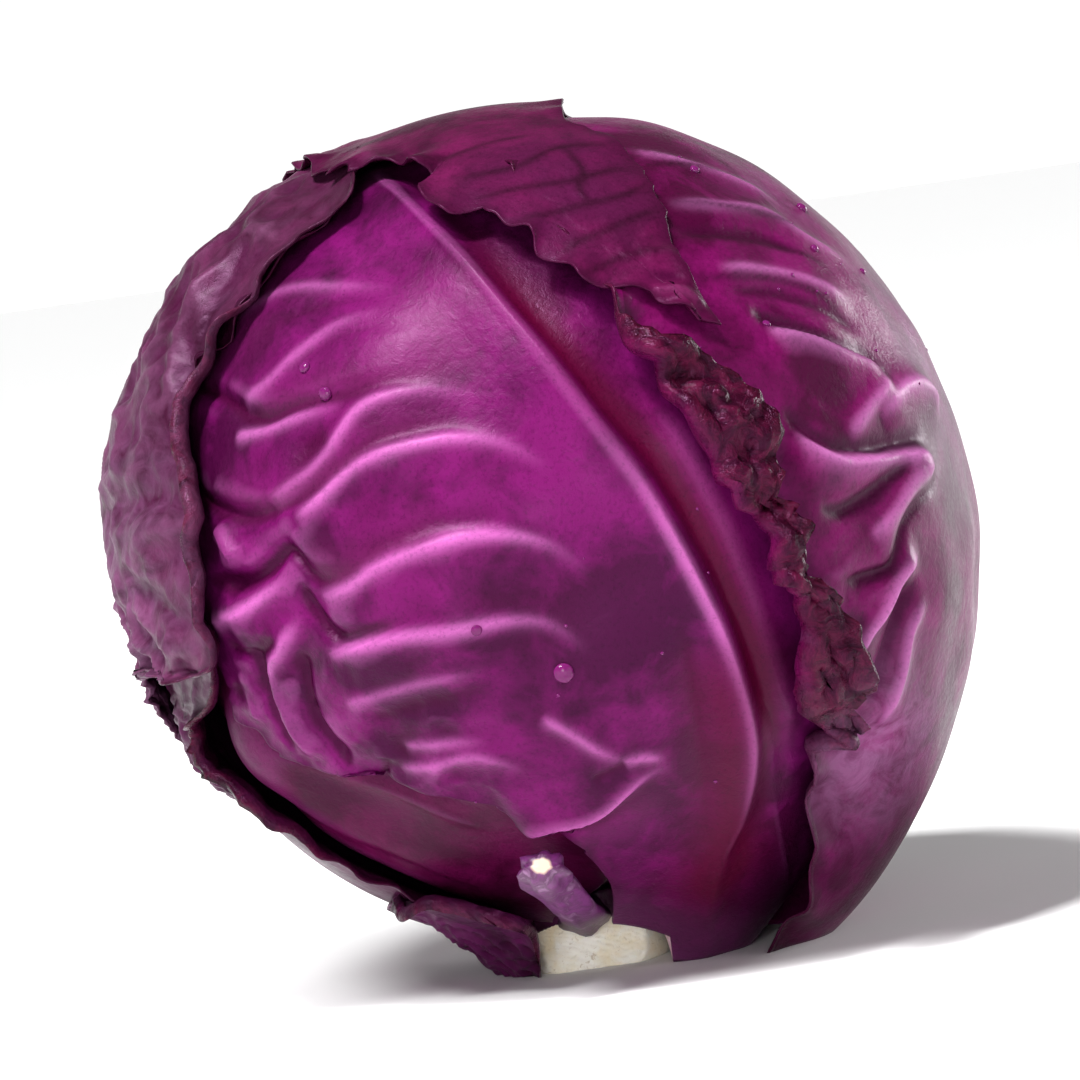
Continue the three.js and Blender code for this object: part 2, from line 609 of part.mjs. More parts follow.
// Stalk: a short round stem. The slice took a flat facet off the lower part of its front.
function sliceRoom(extra) {
  const [width, height] = [SLICE.right - SLICE.left + 2 * extra, SLICE.height + extra];
  const box = new THREE.BoxGeometry(width, SLICE.reach, 2 * height);
  box.translate((SLICE.left + SLICE.right) / 2, STALK_CENTRE.y - SLICE.reach / 2, 0);
  return solidFrom(box);
}
const STALK_SIDES = 28;
function stalkSolid(extra) {
  const outline = new THREE.Shape(
    Array.from({ length: STALK_SIDES }, (_, i) => {
      const turn = (i / STALK_SIDES) * 2 * Math.PI;
      const bulge = 1 + 0.05 * Math.cos(2 * turn + 0.6) + 0.03 * Math.sin(3 * turn);
      const reach = STALK_RADIUS * bulge + extra;
      return new THREE.Vector2(reach * Math.cos(turn), reach * Math.sin(turn)).add(STALK_CENTRE);
    }),
  );
  return solidFrom(new THREE.ExtrudeGeometry(outline, { depth: STALK_TOP + extra, bevelEnabled: false }));
}
function cutStalk() {
  const knife = new THREE.BoxGeometry(SLICE.reach, SLICE.reach, 2 * SLICE.height);
  knife.translate(0, -SLICE.reach / 2, 0);
  knife.rotateX(SLICE.tilt);
  knife.translate(0, STALK_CENTRE.y - STALK_RADIUS + SLICE.depth, 0);
  return stalkSolid(0).subtract(solidFrom(knife));
}

// Heart: the dense inner head. Its own outermost leaves show as low waves that wind up to the crown.
const HEART = { sides: 26, rings: 18, wave: 0.7, flareShare: 0.35 };
function heartGeometry() {
  const inset = BLADE + LEAF_GAP;
  const geometry = new THREE.SphereGeometry(1, HEART.sides, HEART.rings);
  geometry.rotateX(Math.PI / 2);
  const place = geometry.attributes.position;
  const d = new THREE.Vector3();
  for (let i = 0; i < place.count; i++) {
    d.fromBufferAttribute(place, i).normalize();
    const turn = Math.atan2(d.x, -d.y);
    const wave = HEART.wave * Math.sin(3 * turn + 4 * d.z) * (1 - d.z * d.z);
    const r = HEART_RADIUS - inset + HEART.flareShare * flare(d) + wave;
    place.setXYZ(i, d.x * r, d.y * r, Math.max(d.z * r + CENTRE_HEIGHT, STALK_TOP + STALK_GAP));
  }
  return geometry;
}

// Side shoot: a trimmed bud stem that leans out of the notch between the front leaf and the under leaf.
const SHOOT = { sides: 10, steps: 12, radii: [2.2, 2.2, 2.7, 3.5], flatness: 0.8 };
function shootGeometry() {
  const onHead = (x, z, radius) => seen(x, z, radius).multiplyScalar(radius).add(centre);
  const path = new THREE.CatmullRomCurve3([
    new THREE.Vector3(-2.6, STALK_CENTRE.y - STALK_RADIUS, 9),
    onHead(-4.6, 15, 74.8),
    onHead(-7.6, 21, 75),
    onHead(-9.2, 26, 75.8),
  ]);
  const { sides, steps, radii, flatness } = SHOOT;
  const spans = radii.length - 1;
  const frames = path.computeFrenetFrames(steps, false);
  const positions = [];
  for (let j = 0; j <= steps; j++) {
    const t = j / steps;
    const p = path.getPoint(t);
    const k = Math.min(spans - 1, Math.floor(t * spans));
    const reach = THREE.MathUtils.lerp(radii[k], radii[k + 1], t * spans - k);
    for (let i = 0; i < sides; i++) {
      const turn = (i / sides) * 2 * Math.PI;
      const offset = frames.normals[j].clone().multiplyScalar(Math.cos(turn) * reach * flatness);
      offset.addScaledVector(frames.binormals[j], Math.sin(turn) * reach);
      positions.push(...p.clone().add(offset).toArray());
    }
  }
  const start = positions.length / 3;
  positions.push(...path.getPoint(0).toArray(), ...path.getPoint(1).toArray());
  const index = [];
  for (let j = 0; j < steps; j++)
    for (let i = 0; i < sides; i++) {
      const [a, b] = [j * sides + i, j * sides + ((i + 1) % sides)];
      index.push(a, b, b + sides, a, b + sides, a + sides);
    }
  for (let i = 0; i < sides; i++) {
    const next = (i + 1) % sides;
    index.push(start, next, i, start + 1, steps * sides + i, steps * sides + next);
  }
  const geometry = new THREE.BufferGeometry();
  geometry.setAttribute("position", new THREE.Float32BufferAttribute(positions, 3));
  geometry.setIndex(index);
  return geometry;
}

// Assembly

const cabbage = new THREE.Group();
const add = (name, geometry, colour, roughness) => {
  const material = new THREE.MeshStandardMaterial({ color: colour, roughness, metalness: 0 });
  const mesh = new THREE.Mesh(geometry, material);
  mesh.name = name;
  cabbage.add(mesh);
};

const stalkRoom = stalkSolid(STALK_GAP).add(sliceRoom(STALK_GAP));
const GROUND = 400; // side of the block that takes off whatever would reach below the cut face
const ground = new THREE.BoxGeometry(GROUND, GROUND, GROUND);
ground.translate(0, 0, -GROUND / 2);
const below = solidFrom(ground);

// Leaves are cut level with the foot of the stalk and end just short of its side.
const trimmed = (geometry) => {
  const cut = solidFrom(geometry).subtract(stalkRoom).subtract(below);
  const pieces = cut.decompose().sort((a, b) => b.volume() - a.volume());
  return geometryFrom(pieces[0]);
};

add("stalk", geometryFrom(cutStalk()), 0xefe6d2, 0.6);
add("heart", heartGeometry(), 0x7a2c70, 0.4);
for (const leaf of [underLeaf, frontLeaf, lowerLeaf, outerLeaf, rightLeaf, backLeaf, stumpLeaf])
  add(leaf.name, trimmed(bladeGeometry(leaf)), leaf.colour, leaf.roughness);
add("side_shoot", trimmed(shootGeometry()), 0x8a4a86, 0.45);

export default cabbage;
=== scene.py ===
# %% [markdown]
# A head of red cabbage, cut from its stem, stands on the cut. It is a tight ball of leaves, the heart, with
# loose wrapper leaves around it. This notebook makes the finished surface of every leaf around a frame of
# plain solids that is already in place, and never moves or resizes that frame.

import math

import bpy
import numpy as np
from mathutils import Matrix, Vector


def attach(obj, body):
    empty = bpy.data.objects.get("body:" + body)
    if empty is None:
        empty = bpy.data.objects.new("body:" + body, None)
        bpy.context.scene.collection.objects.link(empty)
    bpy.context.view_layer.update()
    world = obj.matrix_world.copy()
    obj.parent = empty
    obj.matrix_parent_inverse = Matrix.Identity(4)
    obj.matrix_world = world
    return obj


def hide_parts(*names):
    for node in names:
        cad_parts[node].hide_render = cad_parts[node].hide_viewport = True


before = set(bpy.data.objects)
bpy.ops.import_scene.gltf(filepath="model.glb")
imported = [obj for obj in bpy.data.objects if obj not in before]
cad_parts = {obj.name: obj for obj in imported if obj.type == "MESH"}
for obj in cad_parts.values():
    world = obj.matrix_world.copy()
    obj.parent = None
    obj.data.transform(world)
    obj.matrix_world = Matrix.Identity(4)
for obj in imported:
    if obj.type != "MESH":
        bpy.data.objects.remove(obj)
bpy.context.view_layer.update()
print("frame nodes:", ", ".join(sorted(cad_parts)))

# %% [markdown]
# The leaves are thin sheets that lie on a ball, so each point of a leaf is a direction from the centre of
# the head and a height above it. Directions are given in two ways: by azimuth and latitude, for the sides
# that the front view doesn't show, and by where the front view shows a point, for everything else. Lengths
# are in millimetres until a mesh is made.

# %% Directions from the centre of the head
MM = 0.001
CENTRE = np.array([0.0, 0.0, 81.0])
HEART_RADIUS = 67.0
BLADE = 0.9  # thickness of a leaf blade
LEAF_GAP = 0.6  # air between leaves that lie on each other
VIEW_DIP = math.radians(4)  # the front view looks down by this much
DRAWING_CENTRE = 84.0  # height of the head's centre in the front drawing
DRAWING_RADIUS = 73.0  # how far from the centre a drawn point lies, unless its row says otherwise
LIMB = 0.995  # a point drawn outside the ball is pulled in to this share of its radius
TINY = 1e-6  # keeps divisions away from zero


def unit(v):
    return v / np.linalg.norm(v, axis=-1, keepdims=True)


def around(azimuth, latitude):
    """A direction in degrees: azimuth 0 is the front, 90 the right, and latitude 90 the top."""
    a, b = math.radians(azimuth), math.radians(latitude)
    return np.array([math.sin(a) * math.cos(b), -math.cos(a) * math.cos(b), math.sin(b)])


def route(points):
    return [around(azimuth, latitude) for azimuth, latitude in points]


def seen(x, z, radius=DRAWING_RADIUS):
    """The direction of a point of the front drawing, on a ball of that radius."""
    up = z - DRAWING_CENTRE
    inside = min(1.0, LIMB * radius / max(math.hypot(x, up), TINY))
    a, b = x * inside, up * inside
    near = math.sqrt(radius**2 - a * a - b * b)
    c, s = math.cos(VIEW_DIP), math.sin(VIEW_DIP)
    return unit(np.array([a, b * s - near * c, b * c + near * s]))


def drawn(points, radius=DRAWING_RADIUS):
    return [seen(x, z, radius) for x, z in points]


print("a point in the middle of the front:", seen(0, 84).round(3))

# %% [markdown]
# A leaf's margins and midrib are smooth curves through a few directions. Reading a curve by its length keeps
# the rows of the mesh evenly spaced, however the points are spread.

# %% Curves on the ball
CURVE_SAMPLES = 24


def smooth_curve(points, t):
    """A curve through some points, read at places that count the points from 0."""
    p = np.array(points)
    p = np.vstack([2 * p[0] - p[1], p, 2 * p[-1] - p[-2]])
    k = np.minimum(t.astype(int), len(points) - 2)
    s = (t - k)[:, None]
    a, b, c, d = p[k], p[k + 1], p[k + 2], p[k + 3]
    return b + 0.5 * ((c - a) * s + (2 * a - 5 * b + 4 * c - d) * s**2 + (3 * b - a - 3 * c + d) * s**3)


def guide(points):
    """A curve of directions, read by the share of its length."""
    spans = len(points) - 1
    path = smooth_curve(points, np.linspace(0, spans, CURVE_SAMPLES * spans + 1))
    steps = np.linalg.norm(np.diff(path, axis=0), axis=1)
    length = np.concatenate([[0], np.cumsum(steps)])

    def at(v):
        place = np.clip(v, 0, 1) * length[-1]
        return unit(np.stack([np.interp(place, length, path[:, i]) for i in range(3)], axis=-1))

    at.length = length[-1] * HEART_RADIUS
    return at


def between(a, b, share):
    """Directions along the arc from a to b."""
    share = np.asarray(share)[..., None]
    angle = np.arccos(np.clip((a * b).sum(-1, keepdims=True), -1, 1))
    angle = np.maximum(angle, TINY)
    return unit(np.sin((1 - share) * angle) * a + np.sin(share * angle) * b)


# %% [markdown]
# The relief of a cabbage leaf is mostly ridges and creases that follow its veins, with soft swellings
# between them. Each is a small function of direction that gives a height, so that a leaf on top can ask for
# the height of the leaf below and lie over its ridges instead of cutting through them.

# %% Swellings, strokes and random fields
STROKE_STEPS = 5
FADE = (0.22, 0.22)  # shares of a stroke over which its start and its end fade out
HIGHLIGHT_FROM = 0.55  # ridges lower than this have no painted highlight line
HIGHLIGHT_WIDTHS = (0.8, 1.1)
WAVE_COUNT, WAVE_SHARE = 5, 0.63  # that share brings the sum of that many waves to a spread of 1
TEETH_START = 0.03  # share of a margin over which its teeth begin


def swelling(at, rise, spread):
    def height(d):
        angle = np.degrees(np.arccos(np.clip(d @ at, -1, 1)))
        return rise * np.exp(-((angle / spread) ** 2))

    return height


def stroke(points, rise, left, right, fade=FADE, power=1.6):
    """A ridge or crease along a curve, with its own width on the left and right of the way it is drawn."""
    count = STROKE_STEPS * (len(points) - 1)
    path = guide(points)(np.linspace(0, 1, count + 1)) * HEART_RADIUS
    middle = path.mean(0)
    bound = np.linalg.norm(path - middle, axis=1).max() + 3 * max(left, right)

    def height(d):
        out = np.zeros(len(d))
        close = np.nonzero(np.linalg.norm(d * HEART_RADIUS - middle, axis=1) < bound)[0]
        if not len(close):
            return out
        q = d[close] * HEART_RADIUS
        best = np.full(len(q), np.inf)
        side = np.zeros(len(q))
        along = np.zeros(len(q))
        for i in range(count):
            step = path[i + 1] - path[i]
            away = q - path[i]
            share = np.clip(away @ step / (step @ step), 0, 1)
            distance = np.linalg.norm(away - share[:, None] * step, axis=1)
            better = distance < best
            best = np.where(better, distance, best)
            side = np.where(better, (np.cross(q, step) * away).sum(1), side)
            along = np.where(better, (i + share) / count, along)
        width = np.where(side > 0, left, right)
        start = np.minimum(1, along / fade[0])
        end = np.minimum(1, (1 - along) / fade[1])
        out[close] = rise * np.exp(-((best / width) ** power)) * start * (2 - start) * end**2 * (3 - 2 * end)
        return out

    return height


def strokes(rows, radius=DRAWING_RADIUS, amount=1.0, **options):
    """Strokes from rows of rise, width above, width below, and points of the drawing from left to right."""
    return [
        stroke(drawn(points, radius), amount * rise, above, below, **options) for rise, above, below, *points in rows
    ]


def crests(rows, radius=DRAWING_RADIUS, **options):
    """Painted highlights: thin pale lines along the crests of the ridges in such rows, the stronger the higher the
    ridge.
    """
    high = [(rise, points) for rise, _, _, *points in rows if rise > HIGHLIGHT_FROM]
    return strokes([(min(0.9, 0.2 + 0.3 * rise), *HIGHLIGHT_WIDTHS, *points) for rise, points in high], radius, **options)


def field(wavelength, seed, waves=18):
    """A soft random field of about that wavelength, with a spread of 1."""
    rng = np.random.default_rng(seed)
    k = unit(rng.normal(size=(waves, 3))) * rng.uniform(0.7, 1.35, (waves, 1)) * 2 * np.pi / wavelength
    phase = rng.uniform(0, 2 * np.pi, waves)
    return lambda d: np.sin(d @ k.T * HEART_RADIUS + phase).sum(-1) * math.sqrt(2 / waves)


def crumple(wavelength, seed):
    """Sharp little folds: a random field creased where it changes sign."""
    a, b = field(wavelength, seed), field(0.45 * wavelength, seed + 1)
    return lambda d: 0.7 - np.abs(a(d)) - 0.45 * np.abs(b(d))


def where(mask, part, amount=1.0):
    """A part of the relief that only shows where the mask, a swelling or stroke, is high."""
    return lambda d: amount * mask(d) * part(d)


def crinkled(place, spread, wavelength, seed, amount):
    """Sharp little folds around one place."""
    return where(swelling(place, 1, spread), crumple(wavelength, seed), amount)


def uneven(place, spread, wavelength, seed, amount):
    """Soft unevenness around one place."""
    return where(swelling(place, 1, spread), field(wavelength, seed), amount)


def ragged(seed, count, low, high, start=0.0):
    """An uneven row of teeth along a margin, from one share of its length on: how deep each place is bitten."""
    rng = np.random.default_rng(seed)
    places, depths = np.sort(rng.uniform(0, 1, count)), rng.uniform(low, high, count)
    return lambda v: np.interp(v, places, depths) * np.clip((v - start) / TEETH_START, 0, 1)


def waves(seed, count, middle, amount, width):
    """A margin that lifts in uneven waves, which reach that far into the leaf."""
    rng = np.random.default_rng(seed)
    turns = rng.uniform(0.6, 1.6, WAVE_COUNT) * count * 2 * np.pi
    phase = rng.uniform(0, 2 * np.pi, WAVE_COUNT)
    return lambda v: (middle + amount * WAVE_SHARE * np.sin(np.outer(v, turns) + phase).sum(1), width)


def soft_max(a, b, soft=1.2):
    """The larger of two heights, rounded where they meet."""
    k = np.clip(0.5 + 0.5 * (a - b) / soft, 0, 1)
    return b + (a - b) * k + soft * k * (1 - k)


def total(parts, d):
    return sum((part(d) for part in parts), np.zeros(len(d)))


flare = swelling(around(84, -72), 10, 19)
print("the ball flares by", round(float(flare(around(60, -75))), 1), "mm at the foot on the right")

# %% [markdown]
# A leaf is made from its three curves, its place in the stack, its relief and its ribs. The blade between
# the margins is a grid. Its outer face follows the relief, and its inner face lies one blade thickness
# under it, so the leaf is a closed sheet with a real edge. A margin can be toothed, lifted in ruffles, or
# folded back over the leaf. Near the stalk each column of the grid starts exactly where the knife cut it.

# %% The leaf
STALK_RADIUS = 14.5
STALK_CENTRE = np.array([-2.0, -1.0])
STALK_TOP = 14.5
STALK_GAP = 0.35
SLICE = {"left": -11.5, "right": 12.4, "height": 9.7}
CUT_TOP, CUT_REACH, CUT_ARCH = -2.0, 15.0, 4.6
VEIN_LEAN, VEIN_BEND = 0.16, 1.4  # a side vein runs this share up the leaf on its way out, ever steeper
VEIN_SHARES = np.array([0.04, 0.25, 0.45, 0.65, 0.85, 0.97])  # where its points lie on its way out
BRANCH_RUN, BRANCH_REACH = 0.055, 0.13  # how far a branch runs up the leaf, and how far out


def side_veins(middle, edge, start, end, count, rise, branches=0):
    """Veins from the midrib towards a margin, each with short branches that lean towards the tip."""
    point = lambda v, share: between(middle(v), edge(v), share)
    veins = []
    for k, v0 in enumerate(np.linspace(start, end, count)):
        veins.append(stroke(point(v0 + VEIN_LEAN * VEIN_SHARES**VEIN_BEND, VEIN_SHARES), rise, 1.6, 3.6))
        for b in range(branches):
            out = 0.18 + 0.7 * (b + 0.5 * (k % 2)) / branches
            turn = 1 if b % 2 else -0.55
            steps = np.linspace(0, 1, 4)
            v = v0 + VEIN_LEAN * out**VEIN_BEND + turn * BRANCH_RUN * steps
            veins.append(stroke(point(v, np.clip(out + BRANCH_REACH * steps, 0, 0.98)), 0.5 * rise, 0.9, 1.8))
    return veins


class Leaf:
    """A leaf on the ball; its skin is the blade without its ribs, and its outside is with them."""

    def __init__(self, name, level, left, middle, right, relief=(), ribs=(), over=(), veins=(), **look):
        self.name, self.level = name, level
        self.left, self.middle, self.right = guide(left), guide(middle), guide(right)
        self.relief, self.ribs, self.over = list(relief), list(ribs), over
        for side, *rule in veins:
            self.relief += side_veins(self.middle, getattr(self, side), *rule)
        self.rows = look.get("rows", [(0, 1.0)])
        self.columns = look.get("columns", (1.0, 1.0))
        self.fold = look.get("fold")
        self.ruffle = look.get("ruffle", {})
        self.teeth = look.get("teeth", {})
        self.paint = look.get("paint", {})

    def height(self, d):
        return total(self.relief, d)

    def skin(self, d):
        r = HEART_RADIUS + flare(d) + self.level + self.height(d)
        for below in self.over:
            r = soft_max(r, below.outside(d) + BLADE + LEAF_GAP)
        return r

    def rib(self, d):
        return total(self.ribs, d)

    def outside(self, d):
        return self.skin(d) + self.rib(d)


def cut_height(x):
    """The knife came out of the stalk and of the leaf stems along a low arch."""
    return SLICE["height"] - CUT_ARCH * (np.abs(x - CUT_TOP) / CUT_REACH) ** 2


def keep_out(p):
    """How far a point is outside the room of the stalk, of the knife's slice and of the ground."""
    x, y, z = p[..., 0], p[..., 1], p[..., 2]
    stalk = np.hypot(x - STALK_CENTRE[0], y - STALK_CENTRE[1]) - STALK_RADIUS - 2 * STALK_GAP
    stalk = np.maximum(stalk, z - STALK_TOP - STALK_GAP)
    box = np.maximum(SLICE["left"] - x, x - SLICE["right"])
    box = np.maximum(np.maximum(box, z - cut_height(x)), y - STALK_CENTRE[1])
    return np.minimum(np.minimum(stalk, box), z)


print("leaves keep", STALK_GAP, "mm clear of the stalk")

# %% [markdown]
# A grid of quads suits a leaf, because its columns can run with the midrib and its rows from margin to margin.
# Rows and columns are closer together where a leaf has fine folds. A folded margin is a few more columns that
# go on past the edge, turn over in a half circle, and come back over the blade.

# %% The grid of a blade
COARSER = 1.0
FOLD_STEP = 0.5
FOLD_CLEARANCE = 1.2 * BLADE  # a folded margin stays at least this far above the blade
FOLD_CLIMB = 0.4  # how steeply it gets there
BITE_WIDTH = 4.0  # how far into the leaf a bite of the ragged margin is felt
TRIM_REACH = 0.45  # a leaf is only trimmed in this first share of its length


def stretches(rows, length):
    """Places along a leaf, from (start, spacing) pairs."""
    places = []
    for k, (start, spacing) in enumerate(rows):
        end = rows[k + 1][0] if k + 1 < len(rows) else 1.0
        count = 2 * max(1, round(0.5 * (end - start) * length / (spacing * COARSER)))
        places.append(start + (end - start) * np.arange(count) / count)
    return np.append(np.concatenate(places), 1.0)


def folded(along, radius):
    """Where a place on a folded margin lies: how far inside the fold line, and how high above the blade."""
    turn = np.minimum(np.pi, along / radius)
    return np.maximum(0, along - np.pi * radius) - radius * np.sin(turn), radius * (1 - np.cos(turn))


def on_grid(part, d):
    """A relief function of a list of directions, read on a grid of them."""
    return part(d.reshape(-1, 3)).reshape(d.shape[:-1])


def blade_grid(leaf):
    """Directions, lifts and the places across and along, for every point of a leaf's grid."""
    v = stretches(leaf.rows, max(leaf.left.length, leaf.middle.length, leaf.right.length))
    l, m, r = leaf.left(v), leaf.middle(v), leaf.right(v)
    reach_left = np.arccos(np.clip((l * m).sum(1), -1, 1)) * HEART_RADIUS
    reach_right = np.arccos(np.clip((r * m).sum(1), -1, 1)) * HEART_RADIUS
    n_left = 2 * max(2, round(0.5 * reach_left.max() / (leaf.columns[0] * COARSER)))
    n_right = 2 * max(2, round(0.5 * reach_right.max() / (leaf.columns[1] * COARSER)))
    s = np.concatenate([np.linspace(-1, 0, n_left + 1)[:-1], np.linspace(0, 1, n_right + 1)])
    reach = np.where(s[None, :] < 0, reach_left[:, None], reach_right[:, None])
    inset = np.zeros_like(reach)
    lift = np.zeros_like(reach)
    for side, sign in (("left", -1), ("right", 1)):
        on_side = s[None, :] * sign > 0
        distance = (1 - np.abs(s))[None, :] * reach
        if side in leaf.teeth:
            bite = leaf.teeth[side](v)[:, None] * np.exp(-distance / BITE_WIDTH)
            inset += np.where(on_side, bite, 0)
        if side in leaf.ruffle:
            rise, width = leaf.ruffle[side](v)
            lift += np.where(on_side, rise[:, None] * np.exp(-((distance / width) ** 1.5)), 0)
    share = np.clip(np.abs(s)[None, :] - inset / np.maximum(reach, 1), 0, 1)
    ends = np.where((s < 0)[None, :, None], l[:, None], r[:, None])
    d = between(np.broadcast_to(m[:, None], ends.shape), ends, share)
    margin = (1 - np.abs(s))[None, :] * reach
    across = np.broadcast_to(s, reach.shape)
    over = np.zeros_like(reach)
    if leaf.fold:
        on_left = leaf.fold["side"] == "left"
        edge, reach_edge = (l, reach_left) if on_left else (r, reach_right)
        radius, width = leaf.fold["radius"], leaf.fold["width"](edge)
        count = 2 * max(3, round(0.5 * width.max() / (FOLD_STEP * COARSER)))
        along = width[:, None] * np.linspace(1, 1 / count, count)[None, :]
        inside, rise = folded(along, radius)
        base = d[:, :1] if on_left else d[:, -1:]
        target = np.broadcast_to(m[:, None], (len(v), count, 3))
        fold_d = between(np.broadcast_to(base, target.shape), target, inside / reach_edge[:, None])
        rise = rise + leaf.fold["crumple"](fold_d) * np.clip(along / (math.pi * radius), 0, 1)
        rise = np.maximum(rise, np.minimum(along * FOLD_CLIMB, FOLD_CLEARANCE))
        rise += lift[:, :1] if on_left else lift[:, -1:]
        joined = lambda new, old: np.concatenate([new, old] if on_left else [old, new[:, ::-1]], axis=1)
        d, lift, margin = joined(fold_d, d), joined(rise, lift), joined(width[:, None] - along, margin)
        across = joined(np.full(along.shape, -1.0 if on_left else 1.0), across)
        over = joined(np.clip(along / (3 * radius), 0, 1), over)
    along = np.broadcast_to(v[:, None], margin.shape)
    return d, lift, margin, across, along, over


def grid_normals(p):
    across = np.gradient(p, axis=1)
    upwards = np.gradient(p, axis=0)
    return unit(np.cross(across, upwards) + 1e-9)


def smoothed(grid, rounds):
    for _ in range(rounds):
        padded = np.pad(grid, 1, mode="edge")
        grid = 0.5 * grid + 0.125 * (padded[:-2, 1:-1] + padded[2:, 1:-1] + padded[1:-1, :-2] + padded[1:-1, 2:])
    return grid


def trim(p, extras):
    """Starts every column of a grid where it leaves the stalk, the knife's slice and the ground."""
    free = keep_out(p)
    rows = len(p)
    first = free[: int(TRIM_REACH * rows)]
    blocked = first < 0
    last = np.where(blocked.any(0), len(first) - 1 - np.argmax(blocked[::-1], axis=0), -1)
    column = np.arange(p.shape[1])
    low, high = free[np.maximum(last, 0), column], free[np.minimum(last + 1, rows - 1), column]
    start = np.where(last >= 0, last + low / np.minimum(low - high, -TINY), 0.0)
    place = start[None, :] + (rows - 1 - start)[None, :] * np.linspace(0, 1, rows)[:, None]
    k = np.minimum(place.astype(int), rows - 2)
    t = place - k
    pick = lambda g: (1 - t) * g[k, column] + t * g[k + 1, column]
    trimmed = np.stack([pick(p[..., i]) for i in range(3)], axis=-1)
    return trimmed, [pick(g) for g in extras]


print("grids are", COARSER, "times coarser than the finished ones")

# %% [markdown]
# The grid becomes a mesh: the outer face, the inner face turned round, and a rim. The rim has a row of its
# own in the middle, a little proud, so that the edge of the leaf looks round and not square. Values that
# the materials need, such as how near a point is to a vein or to the margin, are stored on the points.

# %% Mesh from a grid
RIM_BULGE = 0.22
CREST = 0.5  # height over its surroundings at which a ridge counts as a full crest
SURROUNDINGS = 46  # rounds of smoothing that give a point's surroundings, on the full grid
AVERAGE_ROUNDS = round(SURROUNDINGS / COARSER**2)
EDGE_SHARE, EDGE_REST, EDGE_WIDTH = 0.55, 0.45, 3.0  # a blade thins to this share over the last 3 mm
# pale holds painted highlight lines along the crests of the folds
PAINTS = ("flush", "veins", "haze", "wax", "pale")


def border_of(rows, columns):
    """The places around a grid, counter-clockwise from its first corner."""
    low = [(0, i) for i in range(columns - 1)]
    right = [(j, columns - 1) for j in range(rows - 1)]
    high = [(rows - 1, i) for i in range(columns - 1, 0, -1)]
    left = [(j, 0) for j in range(rows - 1, 0, -1)]
    return np.array(low + right + high + left).T


def quads_of(rows, columns):
    j, i = np.meshgrid(np.arange(rows - 1), np.arange(columns - 1), indexing="ij")
    a = (j * columns + i).ravel()
    return np.stack([a, a + 1, a + 1 + columns, a + columns], axis=1)


def make_object(name, points, faces, material_indices=None):
    mesh = bpy.data.meshes.new(name)
    mesh.from_pydata((points * MM).tolist(), [], faces)
    mesh.update()
    mesh.polygons.foreach_set("use_smooth", np.ones(len(faces), dtype=bool))
    if material_indices is not None:
        mesh.polygons.foreach_set("material_index", material_indices.astype(np.int32))
    made = bpy.data.objects.new(name, mesh)
    bpy.context.scene.collection.objects.link(made)
    return made


def store(made, name, values):
    """Keeps one number for every point of a mesh, for its material to read."""
    made.data.attributes.new(name, "FLOAT", "POINT").data.foreach_set("value", values.astype(np.float32))


def blade_mesh(leaf, name):
    d, lift, margin, across, along, over = blade_grid(leaf)
    flat = d.reshape(-1, 3)
    skin = leaf.skin(flat).reshape(lift.shape)
    rib = leaf.rib(flat).reshape(lift.shape)
    outer = d * (skin + rib + lift)[..., None] + CENTRE
    inner = d * (skin + lift)[..., None] + CENTRE
    thickness = BLADE * (EDGE_SHARE + EDGE_REST * np.clip(margin / EDGE_WIDTH, 0, 1))
    inner = inner - grid_normals(inner) * thickness[..., None]
    relief = skin + rib
    ridge = np.clip((relief - smoothed(relief, AVERAGE_ROUNDS)) / CREST, -1, 1)
    masks = {"ridge": ridge, "margin": margin, "across": across, "along": along, "fold": over}
    for key in PAINTS:
        masks[key] = np.clip(total(leaf.paint.get(key, []), flat), 0, 1).reshape(lift.shape)
    outer, values = trim(outer, list(masks.values()))
    inner, _ = trim(inner, [])
    rows, columns = lift.shape
    bj, bi = border_of(rows, columns)
    rim = 0.5 * (outer[bj, bi] + inner[bj, bi])
    outward = unit(outer[bj, bi] - outer[np.clip(bj, 1, rows - 2), np.clip(bi, 1, columns - 2)] + 1e-9)
    rim = rim + outward * np.where(bj == 0, 0.0, RIM_BULGE)[:, None]
    inner = inner[::2, ::2]
    n, m, count = rows * columns, inner.shape[0] * inner.shape[1], len(bj)
    points = np.concatenate([outer.reshape(-1, 3), rim, inner.reshape(-1, 3)])
    ring = np.arange(count)
    after = np.roll(ring, -1)
    top, middle = bj * columns + bi, n + ring
    upper = np.stack([top[after], top, middle, n + after], axis=1)
    low = (n + count + bj // 2 * inner.shape[1] + bi // 2)[::2]
    low_after = np.roll(low, -1)
    a, b, c = middle[::2], middle[1::2], np.roll(middle, -2)[::2]
    lower = np.concatenate([np.stack(t, axis=1) for t in ((b, a, low), (b, low, low_after), (b, low_after, c))])
    front = quads_of(rows, columns)
    back = quads_of(*inner.shape[:2])[:, ::-1] + n + count
    cut = (bj == 0) & (bi < columns - 1)
    parts = [(front, False), (back, False), (upper, cut), (lower, np.tile(cut[::2], 3))]
    faces = [face for part, _ in parts for face in part.tolist()]
    indices = np.concatenate([np.broadcast_to(mark, len(part)) for part, mark in parts])
    made = make_object(name, points, faces, indices)
    for key, grid in zip(masks, values):
        store(made, key, np.concatenate([grid.ravel(), grid[bj, bi], grid[::2, ::2].ravel()]))
    triangles = sum(len(face) - 2 for face in faces)
    print(f"{name}: {rows} x {columns} points, {triangles} triangles, {np.ptp(points, axis=0).round(0)} mm")
    return made


# %% [markdown]
# The under leaf lies below the front leaf and shows at the lower left as one broad, smooth midrib. The
# same few points that draw its midrib in the front view also raise it.

